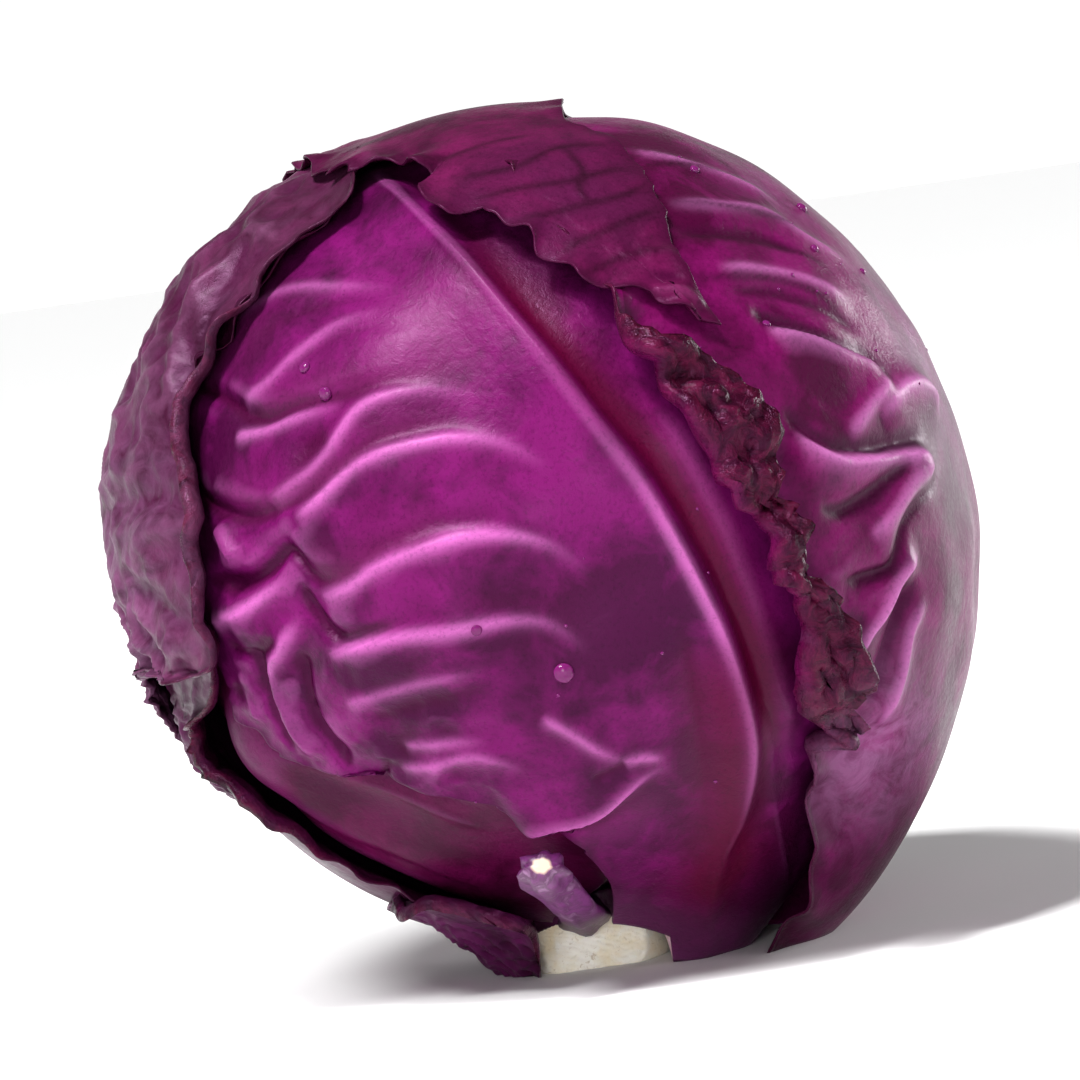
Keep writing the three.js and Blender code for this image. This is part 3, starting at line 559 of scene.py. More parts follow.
# %% Under leaf
under_rib = [around(-40, -79), seen(-14, 12.5, 74)]
under_rib += drawn([(-27, 20.5), (-35, 26), (-47, 37), (-55, 46), (-60.5, 55.5)], 73)
under_rib += [around(-70, -8)]
lower_margin = drawn([(-16, 12), (-27, 18), (-36, 22.5), (-44, 28.5), (-51, 35), (-57, 41.5)], 76)
under_leaf = Leaf(
    "under_leaf",
    0.9,
    left=route([(-66, -79), (-80, -62), (-94, -42), (-102, -20), (-104, 0), (-100, 22)]),
    middle=under_rib + [around(-74, 22)],
    right=[around(-36, -79), around(-22, -74), around(2, -67), around(8, -58), around(-4, -44)]
    + [around(-16, -26), around(-24, -6), around(-44, 22)],
    relief=[
        swelling(around(-42, -85), 5.5, 13),
        swelling(seen(-50, 33, 74), 1.2, 13),
        stroke(lower_margin, 1.4, 14, 9, power=2),
        swelling(seen(-62, 48, 79), 4.6, 9),
        *strokes(
            [
                [-0.7, 1.2, 2.0, (-60, 52), (-52, 43.5), (-42, 35), (-30, 27), (-18, 20)],
                [0.6, 1.2, 1.6, (-54, 54), (-44, 46), (-33, 39.5), (-24, 34), (-14, 29)],
                [-0.5, 1.2, 1.2, (-50, 55), (-42, 48), (-33, 42), (-25, 38), (-16, 33)],
            ],
            70,
        ),
        uneven(around(-50, -40), 60, 16, 11, 0.12),
    ],
    ribs=[stroke(under_rib, 2.2, 8, 9, (0.35, 0.35), 2)],
    rows=[(0, 1.0)],
    columns=(1.3, 1.1),
)

# %% [markdown]
# The front leaf is the large bright one. Its midrib crosses the head from the cut to the crown, and its side
# veins end in folds: a sharp crease with a rounded crest right below it. Every fold is drawn as one
# row, because the eye reads them first.

# %% Front leaf
front_rib = [around(62, -80), seen(25, 13, 84), seen(28, 28, 76)]
front_rib += drawn([(30, 42), (28.5, 57), (24.5, 70), (18, 87), (10.5, 101), (2, 116), (-6, 129), (-14, 140)])
front_rib += [seen(-21, 149), around(-75, 74), around(-125, 78)]
front_fold_rows = [
    [0.7, 3, 5, (-50, 128), (-40, 131.5), (-30, 131), (-18, 128)],
    [-0.5, 1.6, 2, (-46, 124), (-38, 127), (-28, 128), (-18, 125.5)],
    [0.9, 2, 5, (-50, 112), (-44, 116), (-38, 120.5), (-30, 124), (-20, 125)],
    [-0.6, 1.6, 2, (-40, 119), (-32, 121.5), (-22, 122), (-12, 119)],
    [-1.9, 1.2, 1.4, (-60, 119), (-54, 115), (-50, 111.5), (-46, 109.5), (-40, 111), (-28, 111.6), (-12, 112.5)],
    [1.2, 1.4, 3, (-52, 107), (-46, 107.6), (-40, 109), (-30, 109.6)],
    [1.8, 1.5, 6.5, (-47, 94), (-40, 98), (-36, 101), (-33, 104), (-29, 108), (-24, 110), (-16, 110), (-6, 107)],
    [-2.4, 1.4, 1.4, (-63, 104), (-60, 97.5), (-55, 94), (-50, 92.6), (-44, 93.6), (-38, 95.5), (-33, 98.5), (-27, 102)],
    [2.2, 1.5, 7, (-42, 91), (-37, 94), (-33, 97), (-28, 99.5), (-20, 101), (-12, 101), (-4, 98.5), (4, 92)],
    [-2.8, 1.3, 1.4, (-60, 83), (-54, 81.5), (-49, 83), (-45, 86), (-43, 85), (-40.5, 80.8), (-37, 79.2), (-32, 80), (-27, 83)],
    [2.5, 1.5, 7, (-40, 77), (-34, 78.5), (-29, 81), (-22, 82.8), (-13, 84), (-5, 83), (2, 79.5), (8, 73)],
    [2.3, 1.8, 2.6, (-60, 75.5), (-55, 76), (-50, 78.5), (-46, 80.5), (-43.5, 80)],
    [-2.8, 1.2, 1.3, (-43.5, 80), (-42, 76), (-40, 72.2), (-37, 69.6), (-32, 69.4), (-25, 70.5)],
    [2.0, 1.6, 6, (-40, 67), (-34, 68), (-26, 68.8), (-18, 68.6), (-9, 68.6), (-1, 66.5), (6, 60)],
    [1.5, 2.0, 1.5, (-52, 64.5), (-49, 68), (-46, 71.5), (-43.5, 75)],
    [-1.5, 1.2, 1.2, (-58, 71), (-54, 68.5), (-50, 69.5), (-46.5, 73)],
    [0.9, 1.4, 3, (-38, 58), (-30, 59.2), (-22, 60.2), (-12, 61)],
    [-0.7, 1.3, 2, (-36, 55), (-28, 55.5), (-18, 57), (-8, 57)],
    [1.2, 1.4, 3, (-31, 45), (-25, 45), (-18, 45.6), (-12, 43.6), (-8, 40.5)],
    [0.9, 1.3, 2, (-30, 48.6), (-22, 48.6), (-14, 47.8)],
    [1.2, 2.2, 1.4, (-5, 51), (0, 47.5), (4, 44.2), (10, 40.5)],
    [-1.1, 1.2, 1.2, (2, 39), (8, 40.8), (10.6, 43.5), (11.6, 47)],
    [1.2, 1.4, 1.4, (8, 41.4), (12, 42), (16, 40.3)],
    [3.0, 7, 1.0, (-12, 30.8), (-5, 31.8), (0, 32.2), (4, 33.6), (8, 36), (12, 38.4), (18, 40)],
    [-1.4, 1, 2.4, (-9, 29.6), (-3, 30.4), (3, 31.5), (7, 34), (12, 36.8), (18, 38.4)],
    [-0.8, 1.2, 1.2, (0, 9.5), (8, 11.5), (14, 9.6), (20, 9.6), (28, 8.8)],
]
front_folds = strokes(front_fold_rows, fade=(0.14, 0.6), amount=0.85, power=1.25)
front_lips = strokes(
    [
        [1.3, 5, 1.2, (-52, 117), (-46, 112.5), (-38, 113), (-28, 114), (-16, 115)],
        [1.6, 5, 1.2, (-57, 99), (-52, 96.5), (-46, 95.8), (-40, 97)],
        [1.5, 5, 1.2, (-34, 100), (-29, 103), (-22, 105), (-12, 105)],
        [2.2, 6, 1.2, (-43, 89), (-40.5, 84.5), (-36, 82.4), (-31, 83), (-25, 86.5)],
        [1.5, 5, 1.3, (-57, 86), (-53, 84.2), (-49, 86), (-46, 89)],
        [1.8, 6, 1.2, (-39, 75), (-36, 72.4), (-30, 72.2), (-22, 73)],
        [1.0, 5, 1.4, (-36, 62), (-28, 62.4), (-18, 63.6)],
        [1.2, 4, 1.2, (-56, 73.6), (-52, 72), (-48, 74)],
        [1.1, 6, 2.0, (-26, 54), (-16, 52.6), (-6, 54)],
    ],
    fade=(0.14, 0.6),
    amount=0.5,
    power=1.3,
)
front_pleats = strokes(
    [
        [-2.6, 1.3, 1.3, (-45, 68), (-44.8, 60), (-44, 55), (-41.5, 50), (-39, 45)],
        [1.8, 1.9, 1.9, (-51, 66), (-49.5, 60), (-47.5, 54), (-45.5, 48)],
        [-1.8, 1.2, 1.2, (-54, 70), (-52.5, 62), (-51, 56), (-49, 50)],
        [2.2, 2.0, 2.0, (-57, 92), (-55, 88), (-53, 84.5)],
        [1.3, 1.8, 1.8, (-57, 66), (-56, 61), (-54, 56)],
        [-1.2, 1.0, 1.0, (-33, 47), (-34, 44), (-35, 42)],
    ],
    power=1.3,
)
midrib_valley = [(34, 38), (33, 55), (30, 68), (26, 80), (20, 93), (12, 105), (4, 118), (-4, 130), (-10, 139)]
front_midrib = [
    stroke(front_rib[:13], 2.4, 6.5, 3.2, (0.1, 0.1), 2),
    stroke(front_rib[1:12], 0.9, 1.2, 1.0, (0.1, 0.1)),
    *strokes(
        [
            [-1.2, 2.2, 2.2, *midrib_valley],
            [1.0, 2, 4, (38, 40), (35, 60), (31.5, 74), (28, 86), (24, 97), (18, 108)],
            [-1.0, 2.5, 2.5, (20, 24), (22, 38), (22, 54), (20, 70)],
            [0.6, 1.2, 1.2, (32, 18), (33.5, 30), (34, 42), (33, 54)],
        ]
    ),
]
front_leaf = Leaf(
    "front_leaf",
    5.9,
    left=[around(6, -80), seen(3.5, 13.5, 78), seen(0.5, 21, 76)]
    + drawn([(-2.5, 27), (-7, 30.5), (-12, 31.5), (-16, 36), (-23, 39), (-29, 41), (-36, 44.5), (-43, 45.5)])
    + drawn([(-49, 48), (-54, 51.5), (-56, 55), (-60, 58), (-61, 66), (-65, 78), (-68, 90), (-68, 104)])
    + drawn([(-64, 118), (-56, 131), (-45, 142)])
    + [around(-62, 66), around(-110, 68)],
    middle=front_rib,
    right=route([(92, -76), (98, -60), (90, -42), (78, -22), (70, -2), (66, 16), (62, 34), (60, 52), (72, 70), (120, 80)]),
    relief=[
        *front_folds,
        *front_lips,
        *front_pleats,
        stroke(lower_margin, -3.4, 14, 4.5, power=2),
        uneven(around(-18, 2), 42, 24, 21, 0.65),
        uneven(around(-40, -5), 26, 9, 27, 0.22),
        crinkled(seen(-50, 58), 12, 12, 23, 0.55),
        crinkled(seen(-24, 44), 12, 16, 25, 0.4),
    ],
    ribs=[*front_midrib, swelling(around(60, -77), 6.5, 9)],
    over=[under_leaf],
    paint={
        # pale: painted highlights along the fold crests and along the midrib
        "pale": crests(front_fold_rows, fade=(0.14, 0.5)) + [stroke(front_rib[2:8], 0.9, 1.0, 0.6, (0.4, 0.4))],
        "flush": [
            *strokes([[1.0, 2.4, 5, *midrib_valley]]),
            *strokes([[0.9, 6, 6, (24, 62), (26, 50), (26, 38), (24, 26), (20, 16)]]),
            swelling(seen(24, 14, 80), 0.7, 9),
            swelling(seen(-12, 24), 0.4, 8),
        ],
        "haze": [
            swelling(seen(-14, 122), 0.75, 8),
            swelling(seen(-48, 126), 0.5, 8),
            *strokes(
                [
                    [0.9, 4, 1.6, (-48, 111), (-38, 112.4), (-26, 112.6), (-10, 114)],
                    [0.8, 4, 1.6, (-58, 97), (-48, 94), (-38, 96.4), (-26, 102.5), (-10, 104)],
                    [0.8, 4, 1.6, (-42, 84), (-36, 80.6), (-28, 83.5), (-14, 86)],
                    [0.7, 3, 3, (-14, 30), (2, 30), (16, 34)],
                ]
            ),
        ],
    },
    rows=[(0, 1.0), (0.06, 0.66), (0.82, 2.2)],
    columns=(0.62, 0.95),
    teeth={"left": ragged(201, 110, 0.1, 1.9, 0.12)},
)

# %% [markdown]
# The lower left leaf runs up from the cut along the lower left, and its dark crinkled margin lies on the
# under leaf and on the front leaf. The outer left leaf lies over it: dull, wilted, with a rolled lip along its
# front margin and a crumpled ear where it ends.

# %% Leaves on the left
band_crumple = crumple(10, 51)
band_wrinkles = crumple(4, 58)
no_crumple = lambda d: np.zeros(d.shape[:-1])
lower_leaf = Leaf(
    "lower_left_leaf",
    7.4,
    left=route([(-122, -80), (-132, -55), (-138, -30), (-140, -4), (-138, 20), (-132, 42), (-116, 62)]),
    middle=route([(-98, -80), (-97, -62), (-100, -42), (-103, -20), (-105, 4), (-102, 34), (-88, 62)]),
    right=[around(-72, -80), *lower_margin]
    + drawn([(-61, 46.5), (-65, 51)], 76)
    + drawn([(-66, 57), (-62.5, 61), (-60, 68), (-61, 80), (-61.5, 95), (-61.5, 108), (-59, 118)], 75)
    + drawn([(-55, 123.5), (-51, 127), (-46, 133), (-41, 138.5), (-34, 143.5), (-26, 148)], 77),
    relief=[
        swelling(around(-66, -24), 2.2, 9),
        swelling(around(-88, -27), 4.4, 8.5),
        swelling(around(-84, -55), -8, 17),
        swelling(seen(-36, 140, 76), -2, 14),
        stroke(lower_margin, -2.6, 14, 6, power=2),
        crinkled(around(-74, -26), 20, 9, 31, 1.5),
        crinkled(around(-74, -30), 24, 4, 35, 0.5),
        uneven(around(-90, -50), 40, 15, 33, 0.35),
    ],
    ribs=[stroke(route([(-100, -80), (-98, -62), (-100, -42), (-103, -20)]), 1.8, 6, 6, (0.4, 0.4), 2)],
    over=[under_leaf, front_leaf],
    rows=[(0, 0.9), (0.7, 1.6)],
    columns=(1.6, 0.7),
    fold={
        "side": "right",
        "radius": 1.1,
        "width": lambda d: 0.8 + swelling(seen(-60, 50, 75), 2.8, 16)(d),
        "crumple": lambda d: 0.5 + 0.7 * on_grid(band_crumple, d),
    },
    ruffle={"right": waves(211, 18, 0.6, 0.6, 5.0)},
    teeth={"right": ragged(212, 90, 0.1, 1.8)},
)
outer_rib = route([(-138, -80), (-136, -55), (-128, -30), (-118, -8), (-112, 12), (-108, 32), (-104, 50), (-96, 68)])
outer_lip = drawn([(-60.5, 74), (-62, 86), (-61.5, 96), (-63, 105), (-61, 115), (-57, 122.5), (-53, 126)], 80)
outer_lip += drawn([(-48, 132), (-41, 139), (-34, 144.5), (-25, 148.5)], 79) + [around(-62, 70)]
outer_leaf = Leaf(
    "outer_left_leaf",
    12.6,
    left=route([(-158, -80), (-168, -54), (-172, -26), (-173, 4), (-174, 30), (-176, 52), (170, 70)]),
    middle=outer_rib,
    right=[around(-118, -80), around(-120, -56), around(-108, -34)]
    + drawn([(-77, 66), (-71, 66.5), (-66, 66.2), (-60.5, 68), (-61.5, 76), (-63, 86), (-61.5, 96), (-63, 105)], 80)
    + drawn([(-61, 115), (-57, 122.5), (-53, 126), (-48, 132), (-41, 139), (-34, 144.5)], 79)
    + [seen(-25, 148.5, 78.5), around(-62, 70)],
    relief=[
        *strokes(
            [
                [-1.6, 1.6, 4, (-63, 116), (-60, 124), (-56, 131), (-50, 137.5), (-43, 142.5)],
                [1.4, 1.8, 1.4, (-66, 112), (-62.5, 123), (-59, 131), (-53, 138), (-46, 144)],
                [1.0, 2.2, 2.2, (-79, 92), (-72, 93.5), (-66, 94), (-63, 97)],
                [-1.4, 1.8, 1.8, (-74, 84), (-70, 79), (-67, 75.5), (-64, 79)],
                [1.4, 1.8, 1.8, (-78, 71), (-72, 72.5), (-66, 70.5), (-62, 73)],
                [1.0, 2.6, 2.6, (-76, 104), (-71, 107), (-68, 113), (-66, 120)],
                [-1.0, 1.5, 1.5, (-78, 98), (-72, 99.5), (-67, 104)],
            ],
            80,
        ),
        swelling(around(-88, 18), 1.6, 20),
        swelling(around(-92, -12), -1.6, 14),
        swelling(around(-30, 84), -5.5, 19),
        swelling(around(-100, -50), -4, 26),
        swelling(around(75, 10), -5, 50),
        swelling(around(-92, 50), 1.0, 12),
        stroke(outer_lip, -4.5, 9, 34, (0.3, 0.1), 2),
        crinkled(around(-76, -12), 17, 10, 41, 1.3),
        crinkled(around(-72, 30), 40, 16, 43, 0.6),
        crinkled(around(-80, 30), 40, 16, 43, 0.55),
        uneven(around(-130, 0), 70, 18, 45, 0.35),
    ],
    ribs=[stroke(outer_rib[:5], 2.2, 5, 5, power=2)],
    over=[under_leaf, front_leaf, lower_leaf],
    veins=[("left", 0.2, 0.72, 6, 0.8, 4), ("right", 0.26, 0.76, 5, 0.8, 3)],
    paint={
        "veins": strokes(
            [
                [1, 0.6, 0.6, (-80, 92), (-75, 92), (-70, 93.5), (-65, 94)],
                [1, 0.6, 0.6, (-77, 70), (-73, 72.5), (-70, 73), (-66, 71), (-62, 73)],
                [1, 0.5, 0.5, (-79, 82), (-74, 83), (-70, 86), (-66, 86)],
                [1, 0.5, 0.5, (-76, 104), (-71, 106), (-66, 106)],
                # painted shade along the crease under the rolled lip
                [0.9, 1.4, 1.4, (-63, 116), (-60, 124), (-56, 131), (-50, 137.5)],
            ],
            80,
        ),
        "wax": [swelling(around(-84, -2), 0.6, 26)],
    },
    rows=[(0, 1.6), (0.3, 0.75)],
    columns=(1.2, 0.62),
    fold={
        "side": "right",
        "radius": 1.3,
        "width": lambda d: 1.2 + swelling(seen(-63, 100, 80), 3.0, 22)(d),
        "crumple": no_crumple,
    },
    ruffle={"right": waves(221, 16, 0.5, 0.6, 5.0)},
    teeth={"right": ragged(222, 90, 0.1, 2.0)},
)

# %% [markdown]
# The right leaf wraps the whole right-hand side. Its front margin is folded back on itself and crumpled into
# a dark band. The fold is part of the grid: extra columns turn over and lie on the leaf.

# %% Right leaf
right_fold_rows = [
    [-1.9, 1.3, 1.3, (42, 117), (47, 114), (52, 111.5), (58, 108), (65, 104.5)],
    [2.0, 1.4, 5, (44, 113), (50, 111), (56, 108), (61, 105.6), (65, 102.5)],
    [1.6, 2.2, 1.6, (56, 92), (60, 96.5), (63, 99.5), (65, 102.5)],
    [-2.1, 1.4, 1.4, (45, 99), (49, 93.5), (54, 90), (62, 89.4), (70, 90.5)],
    [2.4, 1.4, 5, (46, 94), (50, 90), (54, 88), (61, 87.4), (67, 87.4), (72, 86)],
    [2.0, 2.2, 5, (62, 95), (67, 99.4), (72, 99.4), (75, 93)],
    [-1.7, 1.2, 1.4, (48, 80.5), (52, 79.4), (57, 81.2), (62, 84.4), (67, 87)],
    [-1.8, 1.3, 1.4, (50, 66.8), (56, 67.4), (60, 69), (63, 75), (67, 79.5), (72, 83)],
    [1.4, 1.6, 4, (56, 74), (61, 77.5), (66, 83), (71, 86)],
    [2.4, 2.2, 1.8, (48, 49), (51, 55), (56, 60.5), (60, 66), (66, 70.5)],
    [-2.6, 2.0, 2.0, (53, 44), (57, 52), (61, 60), (65, 66)],
    [1.5, 1.7, 1.7, (54, 40), (59, 49.5), (62, 57), (66, 62)],
    [1.0, 2.4, 2.4, (30, 138), (40, 136.5), (48, 135), (56, 129), (64, 123)],
    [-1.0, 1.4, 1.4, (30, 133), (38, 132), (46, 130.5), (54, 126)],
    [0.9, 1.6, 3, (37, 125), (46, 124), (54, 121), (62, 116)],
    [-0.9, 1.3, 1.6, (38, 121), (46, 120), (55, 116), (63, 110)],
    [0.8, 1.5, 2.5, (25, 149), (35, 146), (44, 142), (52, 137)],
]
right_folds = strokes(right_fold_rows, 79, 1.0, power=1.25)
right_rib = route([(124, -80), (112, -62), (103, -42), (97, -22), (93, 0), (91, 20), (92, 40), (98, 60), (116, 80)])
right_leaf = Leaf(
    "right_leaf",
    10.2,
    left=[around(92, -80), seen(29.5, 0.4, 90)]
    + drawn([(36.5, 6.5), (43.5, 13.5), (47.5, 21.5), (50, 31)], 88)
    + drawn([(48, 39), (41.5, 44.5), (40.5, 56), (42.5, 65.5), (38, 70.5), (37, 79), (31, 90), (25.5, 100)], 80)
    + drawn([(20.5, 112), (15, 124), (7, 138), (1, 149)], 78)
    + [around(-40, 76)],
    middle=right_rib,
    right=route([(144, -80), (146, -60), (151, -36), (153, -12), (154, 12), (158, 38), (170, 66)]),
    relief=[
        *right_folds,
        swelling(around(85, -50), 8.2, 29),
        swelling(around(42, -8), 1.6, 18),
        swelling(around(60, 90), -3.5, 18),
        crinkled(seen(44, 56, 79), 10, 12, 53, 0.7),
        swelling(seen(47, 24, 88), -7, 11),
        swelling(around(92, -18), 0.8, 26),
        swelling(around(84, 42), -1.1, 18),
        uneven(around(80, 10), 80, 20, 57, 0.3),
    ],
    ribs=[stroke(right_rib[:6], 2, 6, 6, (0.3, 0.3), 2), swelling(around(116, -77), 5.5, 9)],
    over=[front_leaf],
    veins=[("right", 0.16, 0.8, 7, 1.0, 4)],
    paint={
        "veins": strokes(
            [
                [1, 0.75, 0.75, (29, 139), (40, 137), (48, 135), (58, 130), (64, 124)],
                [1, 0.75, 0.75, (30, 132.5), (45, 130.5), (55, 126.5), (61, 121)],
                [1, 0.75, 0.75, (33, 124), (44, 123.4), (54, 120), (62, 112)],
                [1, 0.6, 0.6, (26, 147), (36, 146), (46, 143), (54, 137)],
                # these three rows darken creases of the folds: painted shade
                [0.8, 0.9, 0.9, (42, 117), (47, 114), (52, 111.5), (58, 108), (65, 104.5)],
                [0.8, 0.8, 0.8, (50, 66.8), (56, 67.4), (60, 69), (63, 75), (67, 79.5)],
                [0.8, 0.9, 0.9, (48, 80.5), (52, 79.4), (57, 81.2), (62, 84.4), (67, 87)],
            ],
            80,
        ),
        # pale: painted highlights along the fold crests
        "pale": crests(right_fold_rows, 79),
        # mostly a painted sheen along the right edge, with some waxy bloom
        "wax": [
            swelling(seen(61, 32, 88), 1.0, 12),
            swelling(around(72, 48), 0.5, 9),
            swelling(around(80, 16), 0.8, 15),
        ],
    },
    rows=[(0, 1.0), (0.15, 0.68), (0.8, 1.4)],
    columns=(0.64, 1.5),
    fold={
        "side": "left",
        "radius": 1.6,
        "width": lambda d: 1.2
        + swelling(seen(30, 97, 80), 14.5, 13)(d)
        + swelling(seen(43, 50, 80), 15, 11)(d)
        + swelling(seen(40, 72, 80), 4.5, 8)(d),
        "crumple": lambda d: 1.3 + 2.0 * on_grid(band_crumple, d) + 0.9 * on_grid(band_wrinkles, d),
    },
    ruffle={"left": waves(231, 17, 0.6, 0.7, 4.0)},
    teeth={"left": ragged(232, 80, 0.1, 3.2, 0.3)},
)

# %% [markdown]
# The back leaf climbs the back, turns over the crown and ends at the front in a jagged tip with thin dark
# veins. Its margins lie free on top of all the others, so they lift in ruffles.

# %% Back leaf
back_rib = route([(180, -80), (178, -56), (176, -30), (175, -4), (174, 22), (172, 46), (165, 68)])
back_margin = [around(-120, 52), around(-90, 62)] + drawn([(-33, 153.5), (-26, 152.5), (-19, 153)], 81)
back_margin += drawn([(-13, 149), (-10, 141.5), (-3, 139.5), (4, 133), (12, 124), (21, 121.5), (30, 117)], 81)
back_leaf = Leaf(
    "back_leaf",
    12.4,
    left=route([(156, -80), (140, -58), (134, -30), (132, 0), (133, 26), (140, 48), (150, 66), (100, 79)])
    + drawn([(14.5, 158.6), (19, 155.5), (22, 153), (26, 147.5), (29, 140), (30.5, 131), (32.5, 123), (36, 114.5)], 81),
    middle=back_rib + [around(60, 84)] + drawn([(0, 154), (8, 147), (14, 140), (19, 133), (25, 125.5), (32.5, 116)], 81),
    right=route([(-156, -80), (-146, -58), (-142, -30), (-140, 0), (-138, 26), (-126, 50), (-88, 63)])
    + drawn([(-33, 153.5), (-26, 152.5), (-19, 153), (-13, 150.5), (-15, 146), (-10, 141.5), (-3, 139.5)], 81)
    + drawn([(0, 136.5), (4, 135), (3.5, 130), (9, 127.5), (12, 124), (21, 121.5), (24, 118), (30, 117)], 81),
    relief=[
        *strokes(
            [
                [1.0, 2.0, 3.0, (-20, 155.5), (-8, 156), (4, 155), (14, 156)],
                [-0.8, 1.2, 1.2, (-6, 148), (4, 149.2), (12, 151.8), (20, 151), (25, 150)],
                [-0.8, 1.2, 1.2, (-2, 143), (6, 145), (14, 145), (22, 146), (27, 144.6)],
                [-0.8, 1.1, 1.1, (5, 138.5), (14, 139.8), (22, 140.6), (28, 141.6)],
                [-1.0, 1.1, 1.1, (8, 130.5), (13, 133), (19, 134.6), (25, 136.4), (29.6, 136.8)],
                [0.8, 1.2, 1.6, (15, 127), (20, 129), (26, 129.5), (31, 129)],
                [1.1, 0.9, 1.8, (-30, 155), (-22, 157.4), (-10, 158.6), (2, 158.8), (10, 160)],
                [-0.9, 0.8, 0.8, (-28, 153.4), (-18, 155), (-6, 154.4), (4, 153), (12, 154)],
                [0.9, 0.9, 1.4, (-16, 152.6), (-8, 151.4), (0, 151), (8, 152.8), (14, 155)],
                [-0.9, 0.9, 0.9, (6, 157), (12, 158), (17, 156.5), (20, 153)],
                [1.0, 1.0, 1.6, (-12, 147), (-4, 146.6), (2, 147), (8, 147.6)],
                [1.2, 1.0, 1.5, (22, 121.5), (27, 122), (31, 120.4), (34, 117.5)],
                [-1.0, 0.8, 0.8, (20, 124), (26, 125), (31, 123.6)],
            ],
            81,
        ),
        swelling(around(60, 84), -4.4, 26),
        swelling(around(100, 40), -4, 40),
        stroke(back_margin, -4.5, 7, 12, (0.15, 0.15), 2),
        swelling(seen(13.5, 160, 79), 2.4, 3.5),
        swelling(seen(-20, 150, 81), -4, 12),
        swelling(seen(28, 120, 80), 1.2, 10),
        crinkled(seen(8, 150, 81), 24, 11, 61, 1.4),
        crinkled(seen(0, 152, 81), 26, 5, 65, 0.4),
        uneven(around(176, 10), 80, 20, 63, 0.4),
    ],
    ribs=[stroke(back_rib, 2.4, 5.5, 5.5, (0.35, 0.35), 2)],
    over=[front_leaf, right_leaf, outer_leaf, lower_leaf],
    veins=[("left", 0.08, 0.56, 7, 1.1, 4), ("right", 0.06, 0.54, 7, 1.1, 4)],
    paint={
        "veins": strokes(
            [
                [1, 0.75, 0.75, (-8, 148), (4, 149.2), (12, 151.8), (20, 151), (25, 149.4)],
                [1, 0.75, 0.75, (-5, 143.6), (6, 145), (14, 145), (22, 146), (28, 144.6)],
                [1, 0.75, 0.75, (3, 138), (14, 139.8), (22, 140.6), (29, 142.6)],
                [1, 0.75, 0.75, (9, 130.8), (13, 133), (19, 134.6), (25, 136.4), (30.6, 136.8)],
                [0.9, 0.7, 0.7, (12, 126), (20, 129), (26, 129.5), (31, 129)],
                [0.9, 0.7, 0.7, (13, 152), (16, 147), (15, 143), (17, 139)],
                [0.9, 0.7, 0.7, (-16, 152), (-8, 153), (0, 155), (10, 155.6)],
            ],
            81,
        ),
        "haze": [swelling(seen(10, 144, 81), 0.6, 14)],
    },
    rows=[(0, 1.5), (0.62, 0.66)],
    columns=(0.95, 0.95),
    ruffle={"left": waves(241, 20, 0.2, 0.3, 4.0), "right": waves(242, 26, 0.5, 0.7, 4.0)},
    teeth={"left": ragged(243, 90, 0.0, 0.9), "right": ragged(244, 120, 0.0, 3.0)},
)

# %% [markdown]
# An outermost leaf was cut off close to the stalk, and its thick base is still there at the lower left. It is
# made as a short leaf of its own, swollen where it joins the stem, with its torn margin folded over.

# %% Trimmed leaf base
stump_leaf = Leaf(
    "trimmed_leaf_base",
    8.2,
    left=[around(-108, -79.5), around(-104, -73), around(-98, -66), around(-92, -60)],
    middle=[around(-78, -79.5), around(-78, -73), around(-77, -66), around(-76, -59)],
    right=[around(-46, -79.5), seen(-14, 12.5, 79), seen(-22, 17, 77), seen(-30, 20.5, 76), seen(-36, 20, 76)],
    relief=[swelling(around(-75, -88), 14, 13), crinkled(around(-75, -70), 30, 9, 71, 0.9)],
    ribs=[stroke([around(-74, -82), around(-76, -74), around(-76, -64)], 1.4, 5, 5, (0.4, 0.4), 2)],
    over=[under_leaf, lower_leaf],
    rows=[(0, 0.5)],
    columns=(0.55, 0.5),
    fold={
        "side": "right",
        "radius": 1.4,
        "width": lambda d: np.full(len(d), 3.4),
        "crumple": no_crumple,
    },
    ruffle={"right": waves(251, 3, 0.4, 0.7, 4.0)},
    teeth={"right": ragged(252, 16, 0.0, 1.2)},
)
leaves = [under_leaf, front_leaf, lower_leaf, outer_leaf, right_leaf, back_leaf, stump_leaf]
pieces = {leaf.name: blade_mesh(leaf, leaf.name + "_skin") for leaf in leaves}

# %% [markdown]
# The heart is the dense inner head. Only slivers of it show between the wrapper leaves, so it is a ball whose
# own outermost leaves are low steps.

# %% Heart
HEART_INSET = BLADE + LEAF_GAP


def lathe_ball(name, rows, columns, place):
    """A closed ball of quads: place(d) gives the point for a direction."""
    lat = np.linspace(-90, 90, rows + 1)[1:-1]
    az = np.linspace(0, 360, columns, endpoint=False)
    d = np.array([[around(a, b) for a in az] for b in lat]).reshape(-1, 3)
    d = np.vstack([d, around(0, -90), around(0, 90)])
    ring = np.arange(columns)
    after = np.roll(ring, -1)
    faces = []
    for j in range(rows - 2):
        low, high = j * columns, (j + 1) * columns
        faces += np.stack([low + ring, low + after, high + after, high + ring], axis=1).tolist()
    south, north, top = len(d) - 2, len(d) - 1, (rows - 2) * columns
    faces += [[south, after[i], i] for i in ring]
    faces += [[north, top + i, top + after[i]] for i in ring]
    print(f"{name}: {len(faces)} faces")
    return make_object(name, place(d), faces)


def heart_place(d):
    """The heart's surface: low spiral steps of its own leaves, flat above the stalk."""
    turn = np.arctan2(d[:, 0], -d[:, 1])
    wrap = 0.7 * np.sin(3 * turn + 4 * d[:, 2]) * (1 - d[:, 2] ** 2)
    p = d * (HEART_RADIUS - HEART_INSET + 0.35 * flare(d) + wrap)[:, None] + CENTRE
    p[:, 2] = np.maximum(p[:, 2], STALK_TOP + STALK_GAP)
    return p


pieces["heart"] = lathe_ball("heart_skin", 60, 96, heart_place)

